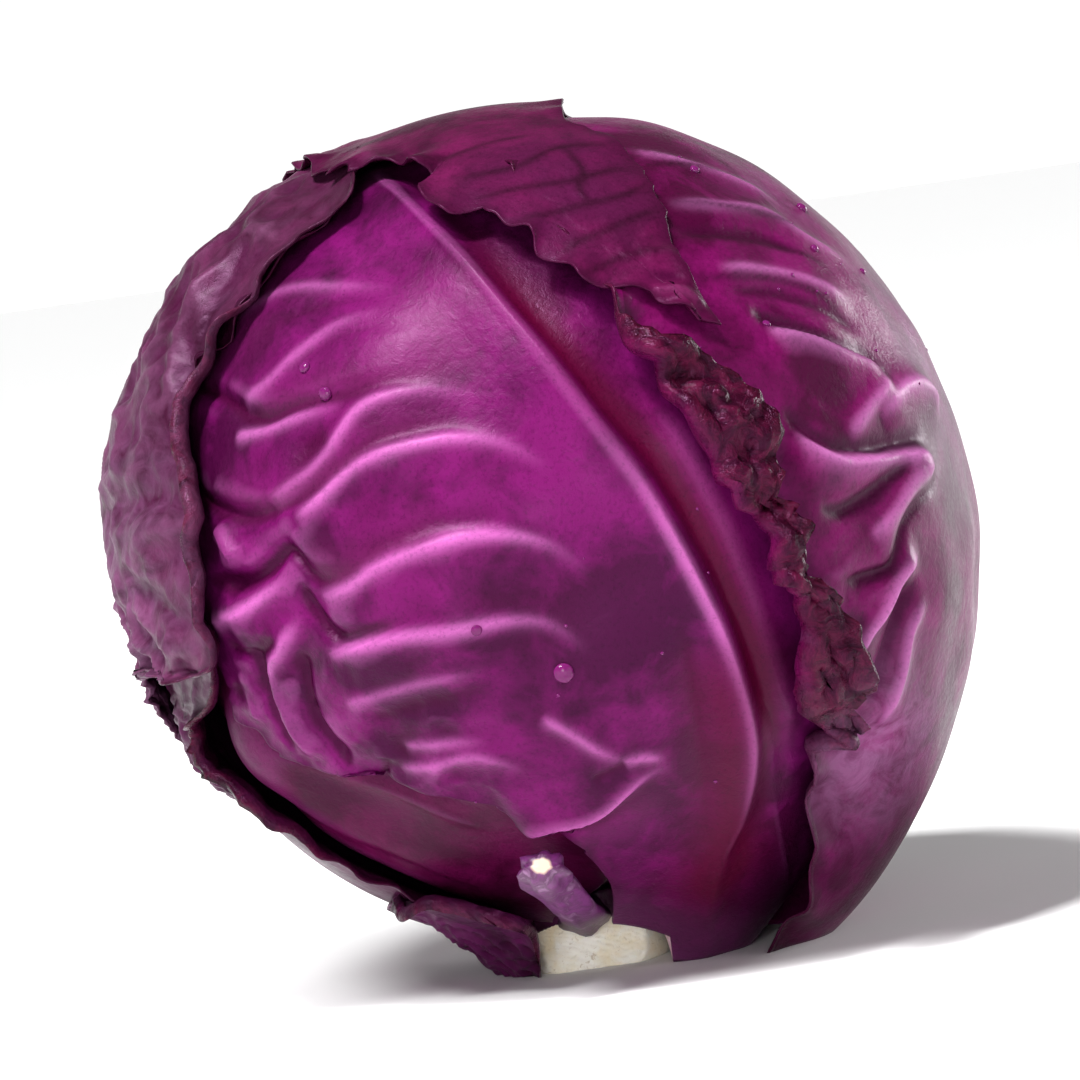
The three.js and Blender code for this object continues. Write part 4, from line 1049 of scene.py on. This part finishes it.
# %% [markdown]
# The stalk is the pale cut stem. It is a short round column with a flat foot, and the knife took a slice off
# its front. The slice is a plane, so the points in front of it are pushed back onto it.

# %% Stalk
FACET_DEPTH = 3.4
FACET_TILT = math.radians(8)
STALK_CHAMFER = 1.1
saw_marks = field(5, 81)


def stalk_place(d):
    """A column that bulges a little, with a chamfered foot and the facet that the knife left in front."""
    turn = np.arctan2(d[:, 1], d[:, 0])
    bulge = 1 + 0.05 * np.cos(2 * turn + 0.6) + 0.03 * np.sin(3 * turn)
    flat = np.abs(d[:, 2])
    side = np.clip(np.hypot(d[:, 0], d[:, 1]) / np.maximum(flat, TINY), 0, 1)
    reach = (STALK_RADIUS * bulge) * np.where(flat > 0.7071, side, 1)
    tall = np.clip(d[:, 2] / np.maximum(np.hypot(d[:, 0], d[:, 1]), TINY), -1, 1)
    z = STALK_TOP * 0.5 * (1 + tall)
    near_foot = np.clip(1 - z / STALK_CHAMFER, 0, 1)
    rim = np.clip((reach / (STALK_RADIUS * bulge) - 0.9) / 0.1, 0, 1)
    reach = reach - 0.6 * STALK_CHAMFER * near_foot * rim
    x = STALK_CENTRE[0] + reach * np.cos(turn)
    y = STALK_CENTRE[1] + reach * np.sin(turn)
    face = STALK_CENTRE[1] - STALK_RADIUS + FACET_DEPTH - 0.12 * saw_marks(d)
    face = face + z * math.tan(FACET_TILT)
    return np.stack([x, np.where(z < cut_height(x), np.maximum(y, face), y), z], axis=1)


pieces["stalk"] = lathe_ball("stalk_skin", 110, 200, stalk_place)
stalk_points = np.array([v.co for v in pieces["stalk"].data.vertices]) / MM
foot = stalk_points[:, 2] < 0.5 * STALK_CHAMFER
front_cut = stalk_points[:, 1] < STALK_CENTRE[1] - 0.15 * STALK_RADIUS
front_cut &= stalk_points[:, 2] < cut_height(stalk_points[:, 0]) - 0.2
store(pieces["stalk"], "cut", foot | front_cut)
print("cut faces take", round(100 * float((foot | front_cut).mean())), "% of the stalk's points")

# %% [markdown]
# The side shoot is the stem of a small bud that was cut off. It grows out of the stalk and leans along the
# underside of the head. It is a tube around a path, thicker at its head.

# %% Side shoot
SHOOT_SIDES = 28
SHOOT_STEPS = 60
SHOOT_PLACES = [0, 0.35, 1, 1.6, 2.3, 2.75, 2.93, 3]
SHOOT_RADII = [4.8, 3.4, 2.5, 2.9, 4.4, 4.3, 3.2, 1.3]


def side_shoot(name):
    """A tube with lengthways grooves and the scar of a scale leaf, whose head is lobed."""
    on_head = lambda x, z, radius: seen(x, z, radius) * radius + CENTRE
    knots = [
        np.array([-2.6, STALK_CENTRE[1] - STALK_RADIUS + 1.5, 10.4]),
        on_head(-4.6, 15, 75.4),
        on_head(-7.6, 21, 76),
        on_head(-8.6, 25, 80),
    ]
    t = np.linspace(0, 3, SHOOT_STEPS + 1)
    path = smooth_curve(knots, t)
    reach = np.interp(t, SHOOT_PLACES, SHOOT_RADII)
    tangent = unit(np.gradient(path, axis=0))
    outward = unit(path - CENTRE)
    outward = unit(outward - (outward * tangent).sum(1, keepdims=True) * tangent)
    side = np.cross(tangent, outward)
    turn = np.linspace(0, 2 * np.pi, SHOOT_SIDES, endpoint=False)
    grooves = 1 + 0.09 * np.sin(5 * turn + 1)[None, :] + 0.05 * np.sin(11 * turn)[None, :] * (t[:, None] / 3)
    scale_leaf = np.exp(-(((turn - 0.5 * np.pi) / 0.7) ** 2))[None, :]
    scale_leaf = scale_leaf * np.sin(np.pi * np.clip(t / 2.2, 0, 1))[:, None]
    head = np.clip(t - 1.8, 0, 1)[:, None]
    grooves = grooves + 0.9 * scale_leaf + head * 0.13 * np.sin(7 * turn[None, :] + 4 * t[:, None])
    grooves = 1 + (grooves - 1) * np.clip((3.06 - t[:, None]) / 0.2, 0, 1)
    ring = outward[:, None] * (0.8 * np.cos(turn))[None, :, None] + side[:, None] * np.sin(turn)[None, :, None]
    points = path[:, None] + ring * (reach[:, None] * grooves)[..., None]
    points = np.concatenate([points.reshape(-1, 3), path[:1], path[-1:] - 0.5 * tangent[-1:]])
    faces = []
    for j in range(SHOOT_STEPS):
        for i in range(SHOOT_SIDES):
            a, b = j * SHOOT_SIDES + i, j * SHOOT_SIDES + (i + 1) % SHOOT_SIDES
            faces.append((b, a, a + SHOOT_SIDES, b + SHOOT_SIDES))
    last = SHOOT_STEPS * SHOOT_SIDES
    for i in range(SHOOT_SIDES):
        after = (i + 1) % SHOOT_SIDES
        faces.append((len(points) - 2, i, after))
        faces.append((len(points) - 1, last + after, last + i))
    made = make_object(name, points, faces)
    store(made, "along", np.concatenate([np.repeat(t / 3, SHOOT_SIDES), [0.0, 1.0]]))
    print(f"{name}: {len(faces)} faces")
    return made


pieces["side_shoot"] = side_shoot("side_shoot_skin")

# %% [markdown]
# Leaf skin is a waxy film over coloured flesh. The colour comes from several layers: a mottled base, painted shade in
# the creases, paler and pinker crests that are partly the paler veins and partly a painted highlight, a dry dark
# margin, fine veins with painted shade along some creases, and waxy bloom with a painted sheen. Each layer is a mask
# times a colour, so one function can mix the finish of every leaf.

# %% Helpers for materials


def tint(text):
    """A linear colour from the hex code of a paint chip."""
    channels = [int(text[i : i + 2], 16) / 255 for i in (1, 3, 5)]
    return [c / 12.92 if c <= 0.04045 else ((c + 0.055) / 1.055) ** 2.4 for c in channels] + [1.0]


class Nodes:
    """Short names for building a node tree."""

    def __init__(self, name):
        self.material = bpy.data.materials.new(name)
        self.material.use_nodes = True
        self.tree = self.material.node_tree
        self.shader = self.tree.nodes["Principled BSDF"]

    def new(self, kind, **values):
        node = self.tree.nodes.new(kind)
        for key, value in values.items():
            setattr(node, key, value)
        return node

    def link(self, a, b):
        self.tree.links.new(a, b)

    def put(self, socket, value):
        if isinstance(value, bpy.types.NodeSocket):
            self.link(value, socket)
        else:
            socket.default_value = value

    def coordinates(self):
        return self.new("ShaderNodeTexCoord").outputs["Object"]

    def attribute(self, name):
        return self.new("ShaderNodeAttribute", attribute_name=name).outputs["Fac"]

    def maths(self, operation, a, b=0.0, clamp=False):
        node = self.new("ShaderNodeMath", operation=operation, use_clamp=clamp)
        self.put(node.inputs[0], a)
        self.put(node.inputs[1], b)
        return node.outputs[0]

    def range(self, value, low, high, to_low=0.0, to_high=1.0):
        node = self.new("ShaderNodeMapRange", clamp=True)
        for key, amount in zip(("Value", "From Min", "From Max", "To Min", "To Max"), (value, low, high, to_low, to_high)):
            self.put(node.inputs[key], amount)
        return node.outputs[0]

    def noise(self, scale, detail=3.0, roughness=0.55, distortion=0.0, where=None):
        node = self.new("ShaderNodeTexNoise")
        self.put(node.inputs["Vector"], where or self.coordinates())
        for key, value in (("Scale", scale), ("Detail", detail), ("Roughness", roughness), ("Distortion", distortion)):
            node.inputs[key].default_value = value
        return node.outputs["Fac"]

    def mix(self, share, a, b, blend="MIX"):
        node = self.new("ShaderNodeMix", data_type="RGBA", blend_type=blend)
        self.put(node.inputs[0], share)
        self.put(node.inputs[6], a)
        self.put(node.inputs[7], b)
        return node.outputs[2]

    def bump(self, height, strength, distance, before=None):
        node = self.new("ShaderNodeBump")
        node.inputs["Strength"].default_value = strength
        node.inputs["Distance"].default_value = distance
        self.put(node.inputs["Height"], height)
        if before is not None:
            self.link(before, node.inputs["Normal"])
        return node.outputs["Normal"]


# %% Leaf material
def leaf_material(name, blade, deep, crest, margin, wax=0.0, roughness=0.36, web=0.0, crease_shade="#330222"):
    n = Nodes(name)
    here = n.coordinates()
    clouds = n.noise(24, 3, 0.55, 0.3, here)
    mottle = n.noise(85, 4, 0.6, 0.4, here)
    grain = n.noise(1300, 3, 0.7, 0.0, here)
    colour = n.mix(n.range(n.maths("ADD", clouds, mottle), 0.86, 1.14), tint(blade), tint(deep))
    ridge = n.attribute("ridge")
    # paler crests: partly the paler colour of the veins, partly a painted highlight on the ridges
    colour = n.mix(n.range(ridge, 0.3, 1.0, 0, 0.14), colour, tint(crest))
    # painted shade: the creases are darkened toward the crease shade colour
    colour = n.mix(n.range(ridge, -0.1, -0.9, 0, 0.85), colour, tint(crease_shade))
    # painted highlight: pale pink lines along the crests
    colour = n.mix(n.maths("MULTIPLY", n.attribute("pale"), 0.8, clamp=True), colour, tint(crest))
    haze = n.maths("MULTIPLY", n.attribute("haze"), n.range(mottle, 0.35, 0.6, 0.4, 0.85))
    colour = n.mix(haze, colour, tint("#541440"))
    flush = n.maths("MULTIPLY", n.attribute("flush"), n.range(mottle, 0.3, 0.7, 0.95, 0.7))
    colour = n.mix(flush, colour, tint("#44021e"))
    colour = n.mix(n.range(n.attribute("margin"), 0.2, 2.6, 0.75, 0.0), colour, tint(margin))
    patches = n.noise(260, 5, 0.7, 0.8, here)
    dry = n.mix(n.range(patches, 0.42, 0.68), tint("#1c030a"), tint("#50102a"))
    colour = n.mix(n.range(n.attribute("fold"), 0.1, 0.9, 0, 0.9), colour, dry)
    # dark veins, and on some rows painted shade along creases
    colour = n.mix(n.maths("MULTIPLY", n.attribute("veins"), 0.85), colour, tint("#1e0412"))
    if web:
        net = n.new("ShaderNodeTexVoronoi", feature="DISTANCE_TO_EDGE")
        wobble = n.new("ShaderNodeTexNoise")
        n.link(here, wobble.inputs["Vector"])
        wobble.inputs["Scale"].default_value = 160
        bent = n.new("ShaderNodeVectorMath", operation="MULTIPLY_ADD")
        n.link(wobble.outputs["Color"], bent.inputs[0])
        bent.inputs[1].default_value = (0.009, 0.009, 0.009)
        n.link(here, bent.inputs[2])
        n.link(bent.outputs[0], net.inputs["Vector"])
        net.inputs["Scale"].default_value = 210
        colour = n.mix(n.range(net.outputs["Distance"], 0.0, 0.12, web, 0.0), colour, tint(deep))
    colour = n.mix(n.maths("MULTIPLY", n.range(n.attribute("along"), 0.0, 0.1, 0.25, 0.0), 1.0), colour, tint(crest))
    speckle = n.range(grain, 0.3, 0.7, 0.72, 1.3)
    colour = n.mix(1.0, colour, n.mix(speckle, [0, 0, 0, 1], [1, 1, 1, 1]), "MULTIPLY")
    # waxy bloom, and at the right leaf's edge a painted sheen, in a greyish pink
    bloom_sheen_share = n.maths("ADD", n.maths("MULTIPLY", n.attribute("wax"), 0.55), wax)
    streaks = n.noise(150, 5, 0.7, 1.2, here)
    colour = n.mix(n.maths("MULTIPLY", bloom_sheen_share, n.range(streaks, 0.3, 0.65)), colour, tint("#93608a"))
    n.link(colour, n.shader.inputs["Base Color"])
    satin = n.range(n.maths("ADD", grain, streaks), 0.7, 1.3, roughness - 0.06, roughness + 0.12)
    n.link(n.maths("SUBTRACT", satin, n.maths("MULTIPLY", n.attribute("fold"), 0.16)), n.shader.inputs["Roughness"])
    skin = n.bump(grain, 0.3, 0.00012)
    pores = n.bump(n.noise(420, 4, 0.65, 0.5, here), 0.35, 0.0005, skin)
    crinkle = n.maths("MULTIPLY", patches, n.maths("ADD", n.attribute("fold"), 0.08))
    n.link(n.bump(crinkle, 0.6, 0.0016, pores), n.shader.inputs["Normal"])
    n.shader.inputs["Specular IOR Level"].default_value = 0.13
    n.shader.inputs["Specular Tint"].default_value = (1.0, 0.4, 0.88, 1)
    n.shader.inputs["Coat Weight"].default_value = 0.02
    n.shader.inputs["Coat Roughness"].default_value = 0.25
    print("made", name)
    return n.material


LOOKS = {
    "front_leaf": leaf_material("bright leaf", "#5e0a4c", "#340428", "#bc62aa", "#38062a"),
    "under_leaf": leaf_material("under leaf", "#4c0632", "#30021c", "#84407a", "#300422"),
    "lower_left_leaf": leaf_material("dark leaf", "#440c34", "#240318", "#7c3c70", "#260418"),
    "outer_left_leaf": leaf_material("wilted leaf", "#4c1838", "#300a20", "#845074", "#2a081c", 0.06, 0.38, 0.12),
    "right_leaf": leaf_material("right leaf", "#600846", "#380224", "#bc6cac", "#30051e", 0.0, 0.34, 0.1),
    "back_leaf": leaf_material("back leaf", "#540c38", "#320420", "#88406e", "#300520", 0.0, 0.36, 0.16),
    "trimmed_leaf_base": leaf_material("stump leaf", "#4e1040", "#300626", "#784070", "#2e0820", 0.03),
}
LOOKS["heart"] = LOOKS["under_leaf"]

# %% Cut flesh, stalk and shoot


def flesh_material(name, pale, warm, fibre_scale, rind=None):
    n = Nodes(name)
    where_am_i = n.coordinates()
    patches = n.noise(160, 4, 0.6, 0.5, where_am_i)
    colour = n.mix(n.range(patches, 0.4, 0.7), tint(pale), tint(warm))
    fibres = n.noise(fibre_scale, 2, 0.5, 1.5, where_am_i)
    colour = n.mix(n.range(fibres, 0.62, 0.75, 0, 0.5), colour, tint("#a98a58"))
    if rind:
        skin = n.mix(n.range(patches, 0.4, 0.65), tint(rind), tint("#2e0420"))
        colour = n.mix(n.range(n.attribute("cut"), 0.35, 0.65), skin, colour)
    n.link(colour, n.shader.inputs["Base Color"])
    n.shader.inputs["Roughness"].default_value = 0.5
    n.link(n.bump(fibres, 0.4, 0.0004), n.shader.inputs["Normal"])
    n.shader.inputs["Subsurface Weight"].default_value = 0.1
    n.shader.inputs["Subsurface Radius"].default_value = (0.004, 0.003, 0.002)
    print("made", name)
    return n.material


LOOKS["stalk"] = flesh_material("cut stalk", "#fffaee", "#f2e2bf", 700, "#5a0a48")
cut_flesh = flesh_material("cut leaf flesh", "#d9b6c0", "#c79aa6", 600)


def shoot_material():
    n = Nodes("shoot skin")
    where_am_i = n.coordinates()
    along = n.attribute("along")
    streaks = n.noise(400, 3, 0.6, 0.8, where_am_i)
    colour = n.mix(n.range(streaks, 0.4, 0.65), tint("#5c1c58"), tint("#34082c"))
    colour = n.mix(n.range(streaks, 0.56, 0.7, 0, 0.4), colour, tint("#b07cae"))
    colour = n.mix(n.range(along, 0.9915, 0.999), colour, tint("#cbb09a"))
    n.link(colour, n.shader.inputs["Base Color"])
    n.shader.inputs["Roughness"].default_value = 0.45
    n.link(n.bump(streaks, 0.4, 0.0004), n.shader.inputs["Normal"])
    return n.material


LOOKS["side_shoot"] = shoot_material()

# %% [markdown]
# Drops of water sit on the waxy skin. Each is a small flattened ball sunk into the leaf. One Geometry Nodes
# tree copies the ball to a list of points and turns each copy to stand on the surface. The few large drops
# have their own places, and the fine ones are drawn from a seeded list.

# %% Water drops
DROP_FLATNESS = 0.62
DROP_SEED = 17
LARGE_DROPS = {
    "front_leaf": [(-36, 113.3, 1.3), (-39, 118.5, 1.1), (0, 57, 1.8), (-14, 67.5, 1.0), (34.5, 88, 0.7)],
    "right_leaf": [(54, 134, 1.1), (54, 125.5, 0.8), (43, 113, 0.8), (35, 142, 0.9), (63, 121, 0.7)],
}
FINE_DROPS = {"right_leaf": ((60, 112), (12, 16), 14), "front_leaf": ((6, 66), (20, 16), 8)}


def drop_places():
    rng = np.random.default_rng(DROP_SEED)
    by_name = {leaf.name: leaf for leaf in leaves}
    points, normals, sizes = [], [], []
    for name, rows in LARGE_DROPS.items():
        rows = list(rows)
        if name in FINE_DROPS:
            middle, spread, count = FINE_DROPS[name]
            for _ in range(count):
                x, z = rng.normal(middle, spread)
                rows.append((x, z, rng.uniform(0.18, 0.4)))
        for x, z, size in rows:
            d = seen(x, z, 76)
            nearby = unit(d + np.array([[0, 0, 0], [0.004, 0, 0], [0, 0, 0.004]]))
            p = nearby * by_name[name].outside(nearby)[:, None]
            normal = unit(np.cross(p[1] - p[0], p[2] - p[0]))
            points.append(p[0] + CENTRE + 0.12 * size * normal)
            normals.append(normal if normal @ d > 0 else -normal)
            sizes.append(size)
    return np.array(points), np.array(normals), np.array(sizes)


def water_material():
    n = Nodes("water")
    n.shader.inputs["Base Color"].default_value = (0.17, 0.012, 0.12, 1)
    n.shader.inputs["Roughness"].default_value = 0.03
    n.shader.inputs["IOR"].default_value = 1.33
    n.shader.inputs["Specular IOR Level"].default_value = 0.4
    n.shader.inputs["Transmission Weight"].default_value = 0.35
    ripple = n.noise(900, 2, 0.5, 0.0)
    n.link(n.bump(ripple, 0.1, 0.0001), n.shader.inputs["Normal"])
    return n.material


def copies_on_points(name, material, flatness):
    """A tree that puts a flattened ball on every point, sized and turned by the point's attributes."""
    tree = bpy.data.node_groups.new(name, "GeometryNodeTree")
    tree.interface.new_socket("Geometry", in_out="INPUT", socket_type="NodeSocketGeometry")
    tree.interface.new_socket("Flatness", in_out="INPUT", socket_type="NodeSocketFloat").default_value = flatness
    tree.interface.new_socket("Geometry", in_out="OUTPUT", socket_type="NodeSocketGeometry")
    new, link = tree.nodes.new, tree.links.new
    start, end = new("NodeGroupInput"), new("NodeGroupOutput")
    ball = new("GeometryNodeMeshUVSphere")
    ball.inputs["Segments"].default_value = 24
    ball.inputs["Rings"].default_value = 12
    ball.inputs["Radius"].default_value = 1.0
    size = new("GeometryNodeInputNamedAttribute")
    size.data_type = "FLOAT"
    size.inputs["Name"].default_value = "size"
    up = new("GeometryNodeInputNamedAttribute")
    up.data_type = "FLOAT_VECTOR"
    up.inputs["Name"].default_value = "up"
    turn = new("FunctionNodeAlignRotationToVector")
    turn.axis = "Z"
    link(up.outputs["Attribute"], turn.inputs["Vector"])
    shape = new("ShaderNodeCombineXYZ")
    shape.inputs[0].default_value = 1.0
    shape.inputs[1].default_value = 1.0
    link(start.outputs["Flatness"], shape.inputs[2])
    scale = new("ShaderNodeVectorMath")
    scale.operation = "SCALE"
    link(shape.outputs[0], scale.inputs[0])
    link(size.outputs["Attribute"], scale.inputs["Scale"])
    copies = new("GeometryNodeInstanceOnPoints")
    link(start.outputs["Geometry"], copies.inputs["Points"])
    link(ball.outputs["Mesh"], copies.inputs["Instance"])
    link(turn.outputs["Rotation"], copies.inputs["Rotation"])
    link(scale.outputs[0], copies.inputs["Scale"])
    real = new("GeometryNodeRealizeInstances")
    link(copies.outputs["Instances"], real.inputs[0])
    smooth = new("GeometryNodeSetShadeSmooth")
    link(real.outputs[0], smooth.inputs[0])
    finish = new("GeometryNodeSetMaterial")
    finish.inputs["Material"].default_value = material
    link(smooth.outputs[0], finish.inputs["Geometry"])
    link(finish.outputs[0], end.inputs[0])
    return tree


def scatter(name, points, normals, sizes, material, flatness):
    seeds = bpy.data.meshes.new(name + "_points")
    seeds.from_pydata((points * MM).tolist(), [], [])
    seeds.attributes.new("size", "FLOAT", "POINT").data.foreach_set("value", (sizes * MM).astype(np.float32))
    seeds.attributes.new("up", "FLOAT_VECTOR", "POINT").data.foreach_set("vector", normals.ravel().astype(np.float32))
    carrier = bpy.data.objects.new(name + "_points", seeds)
    bpy.context.scene.collection.objects.link(carrier)
    modifier = carrier.modifiers.new("copies", "NODES")
    modifier.node_group = copies_on_points(name + "_tree", material, flatness)
    socket = next(s for s in modifier.node_group.interface.items_tree if s.name == "Flatness")
    modifier[socket.identifier] = flatness
    bpy.context.view_layer.update()
    mesh = bpy.data.meshes.new_from_object(carrier.evaluated_get(bpy.context.evaluated_depsgraph_get()))
    bpy.data.objects.remove(carrier)
    mesh.name = name
    made = bpy.data.objects.new(name, mesh)
    bpy.context.scene.collection.objects.link(made)
    print(f"{name}: {len(points)} copies, {len(mesh.polygons)} faces")
    return made


drops = scatter("water_drops", *drop_places(), water_material(), DROP_FLATNESS)
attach(drops, "root")

# %% Put the pieces on the frame
for node, piece in pieces.items():
    piece.data.materials.append(LOOKS[node])
    if node not in ("heart", "stalk", "side_shoot"):
        piece.data.materials.append(cut_flesh)
    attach(piece, "root")
    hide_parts(node)
print("dressed", len(pieces), "nodes")

# %% [markdown]
# The head stands on a white studio floor. A very soft sun from the upper left is the main light, a soft lamp
# behind on the right draws the pale rim, and the white horizon of the studio shows behind the floor. The
# ceiling is dim, because a leaf's deep colour would wash out under a white one.

# %% Floor and lights
FLOOR = 6.0
floor_mesh = bpy.data.meshes.new("floor")
floor_mesh.from_pydata([(-FLOOR, -FLOOR, 0), (FLOOR, -FLOOR, 0), (FLOOR, FLOOR, 0), (-FLOOR, FLOOR, 0)], [], [(0, 1, 2, 3)])
floor = bpy.data.objects.new("floor", floor_mesh)
bpy.context.scene.collection.objects.link(floor)
floor_look = Nodes("pale floor")
floor_look.shader.inputs["Base Color"].default_value = (0.97, 0.97, 0.97, 1)
floor_look.shader.inputs["Roughness"].default_value = 0.9
floor_look.shader.inputs["Specular IOR Level"].default_value = 0.1
floor_mesh.materials.append(floor_look.material)

scene = bpy.context.scene
scene.view_settings.view_transform = "Standard"


def studio_world(horizon, ceiling, top_of_wall, start_of_ceiling):
    """A white wall all round up to one height, and a dim ceiling from another; heights are sines."""
    world = bpy.data.worlds.new("studio")
    world.use_nodes = True
    tree = world.node_tree
    place = tree.nodes.new("ShaderNodeTexCoord")
    split = tree.nodes.new("ShaderNodeSeparateXYZ")
    fade = tree.nodes.new("ShaderNodeMapRange")
    fade.interpolation_type = "SMOOTHSTEP"
    tree.links.new(place.outputs["Generated"], split.inputs[0])
    tree.links.new(split.outputs["Z"], fade.inputs["Value"])
    for key, value in zip(("From Min", "From Max", "To Min", "To Max"), (top_of_wall, start_of_ceiling, horizon, ceiling)):
        fade.inputs[key].default_value = value
    back = tree.nodes["Background"]
    back.inputs["Color"].default_value = (1, 1, 1, 1)
    tree.links.new(fade.outputs[0], back.inputs["Strength"])
    return world


scene.world = studio_world(1.06, 0.13, 0.15, 0.34)


def aim(made, place):
    made.location = place
    away = Vector(place) - Vector(CENTRE * MM)
    made.rotation_euler = away.to_track_quat("Z", "Y").to_euler()
    scene.collection.objects.link(made)


def soft_light(name, place, size, power):
    lamp = bpy.data.lights.new(name, "AREA")
    lamp.size, lamp.energy = size, power
    aim(bpy.data.objects.new(name, lamp), place)


sun = bpy.data.lights.new("soft sun", "SUN")
sun.energy = 3.15
sun.angle = math.radians(20)
aim(bpy.data.objects.new("soft sun", sun), (-0.65, -0.62, 1.35))
soft_light("strip lamp", (-0.35, -0.6, 1.5), 0.22, 34)
soft_light("rim lamp", (1.3, 1.0, 0.35), 0.5, 12)
soft_light("right lamp", (1.5, -0.9, 0.7), 0.6, 3)
soft_light("low lamp", (-0.25, -1.5, 0.18), 0.5, 7)

# %% [markdown]
# The camera stands at the photograph's angle: a little above the middle of the head, a metre away, and turned
# by a few degrees about its own axis, because the head stands slightly tilted in the picture.

# %% Camera
DISTANCE = 1.1
ROLL = math.radians(8)
FRAME_PIXELS = 1080
MM_PER_PIXEL = 0.184
SENSOR = 36.0
camera_data = bpy.data.cameras.new("camera")
camera = bpy.data.objects.new("camera", camera_data)
scene.collection.objects.link(camera)
camera_data.sensor_width = SENSOR
camera_data.lens = SENSOR * (DISTANCE / MM / MM_PER_PIXEL) / FRAME_PIXELS
camera_data.shift_x = -3 / FRAME_PIXELS
camera_data.shift_y = -15 / FRAME_PIXELS
forward = Vector((0, math.cos(VIEW_DIP), -math.sin(VIEW_DIP)))
right = Vector((1, 0, 0))
up = right.cross(forward)
rolled_right = math.cos(ROLL) * right - math.sin(ROLL) * up
rolled_up = math.sin(ROLL) * right + math.cos(ROLL) * up
place = Vector(CENTRE * MM) - forward * DISTANCE
camera.matrix_world = Matrix(
    (
        (*[rolled_right[0], rolled_up[0], -forward[0]], place[0]),
        (*[rolled_right[1], rolled_up[1], -forward[1]], place[1]),
        (*[rolled_right[2], rolled_up[2], -forward[2]], place[2]),
        (0, 0, 0, 1),
    )
)
scene.camera = camera
print("camera", tuple(round(c, 3) for c in camera.location), "lens", round(camera_data.lens, 1))
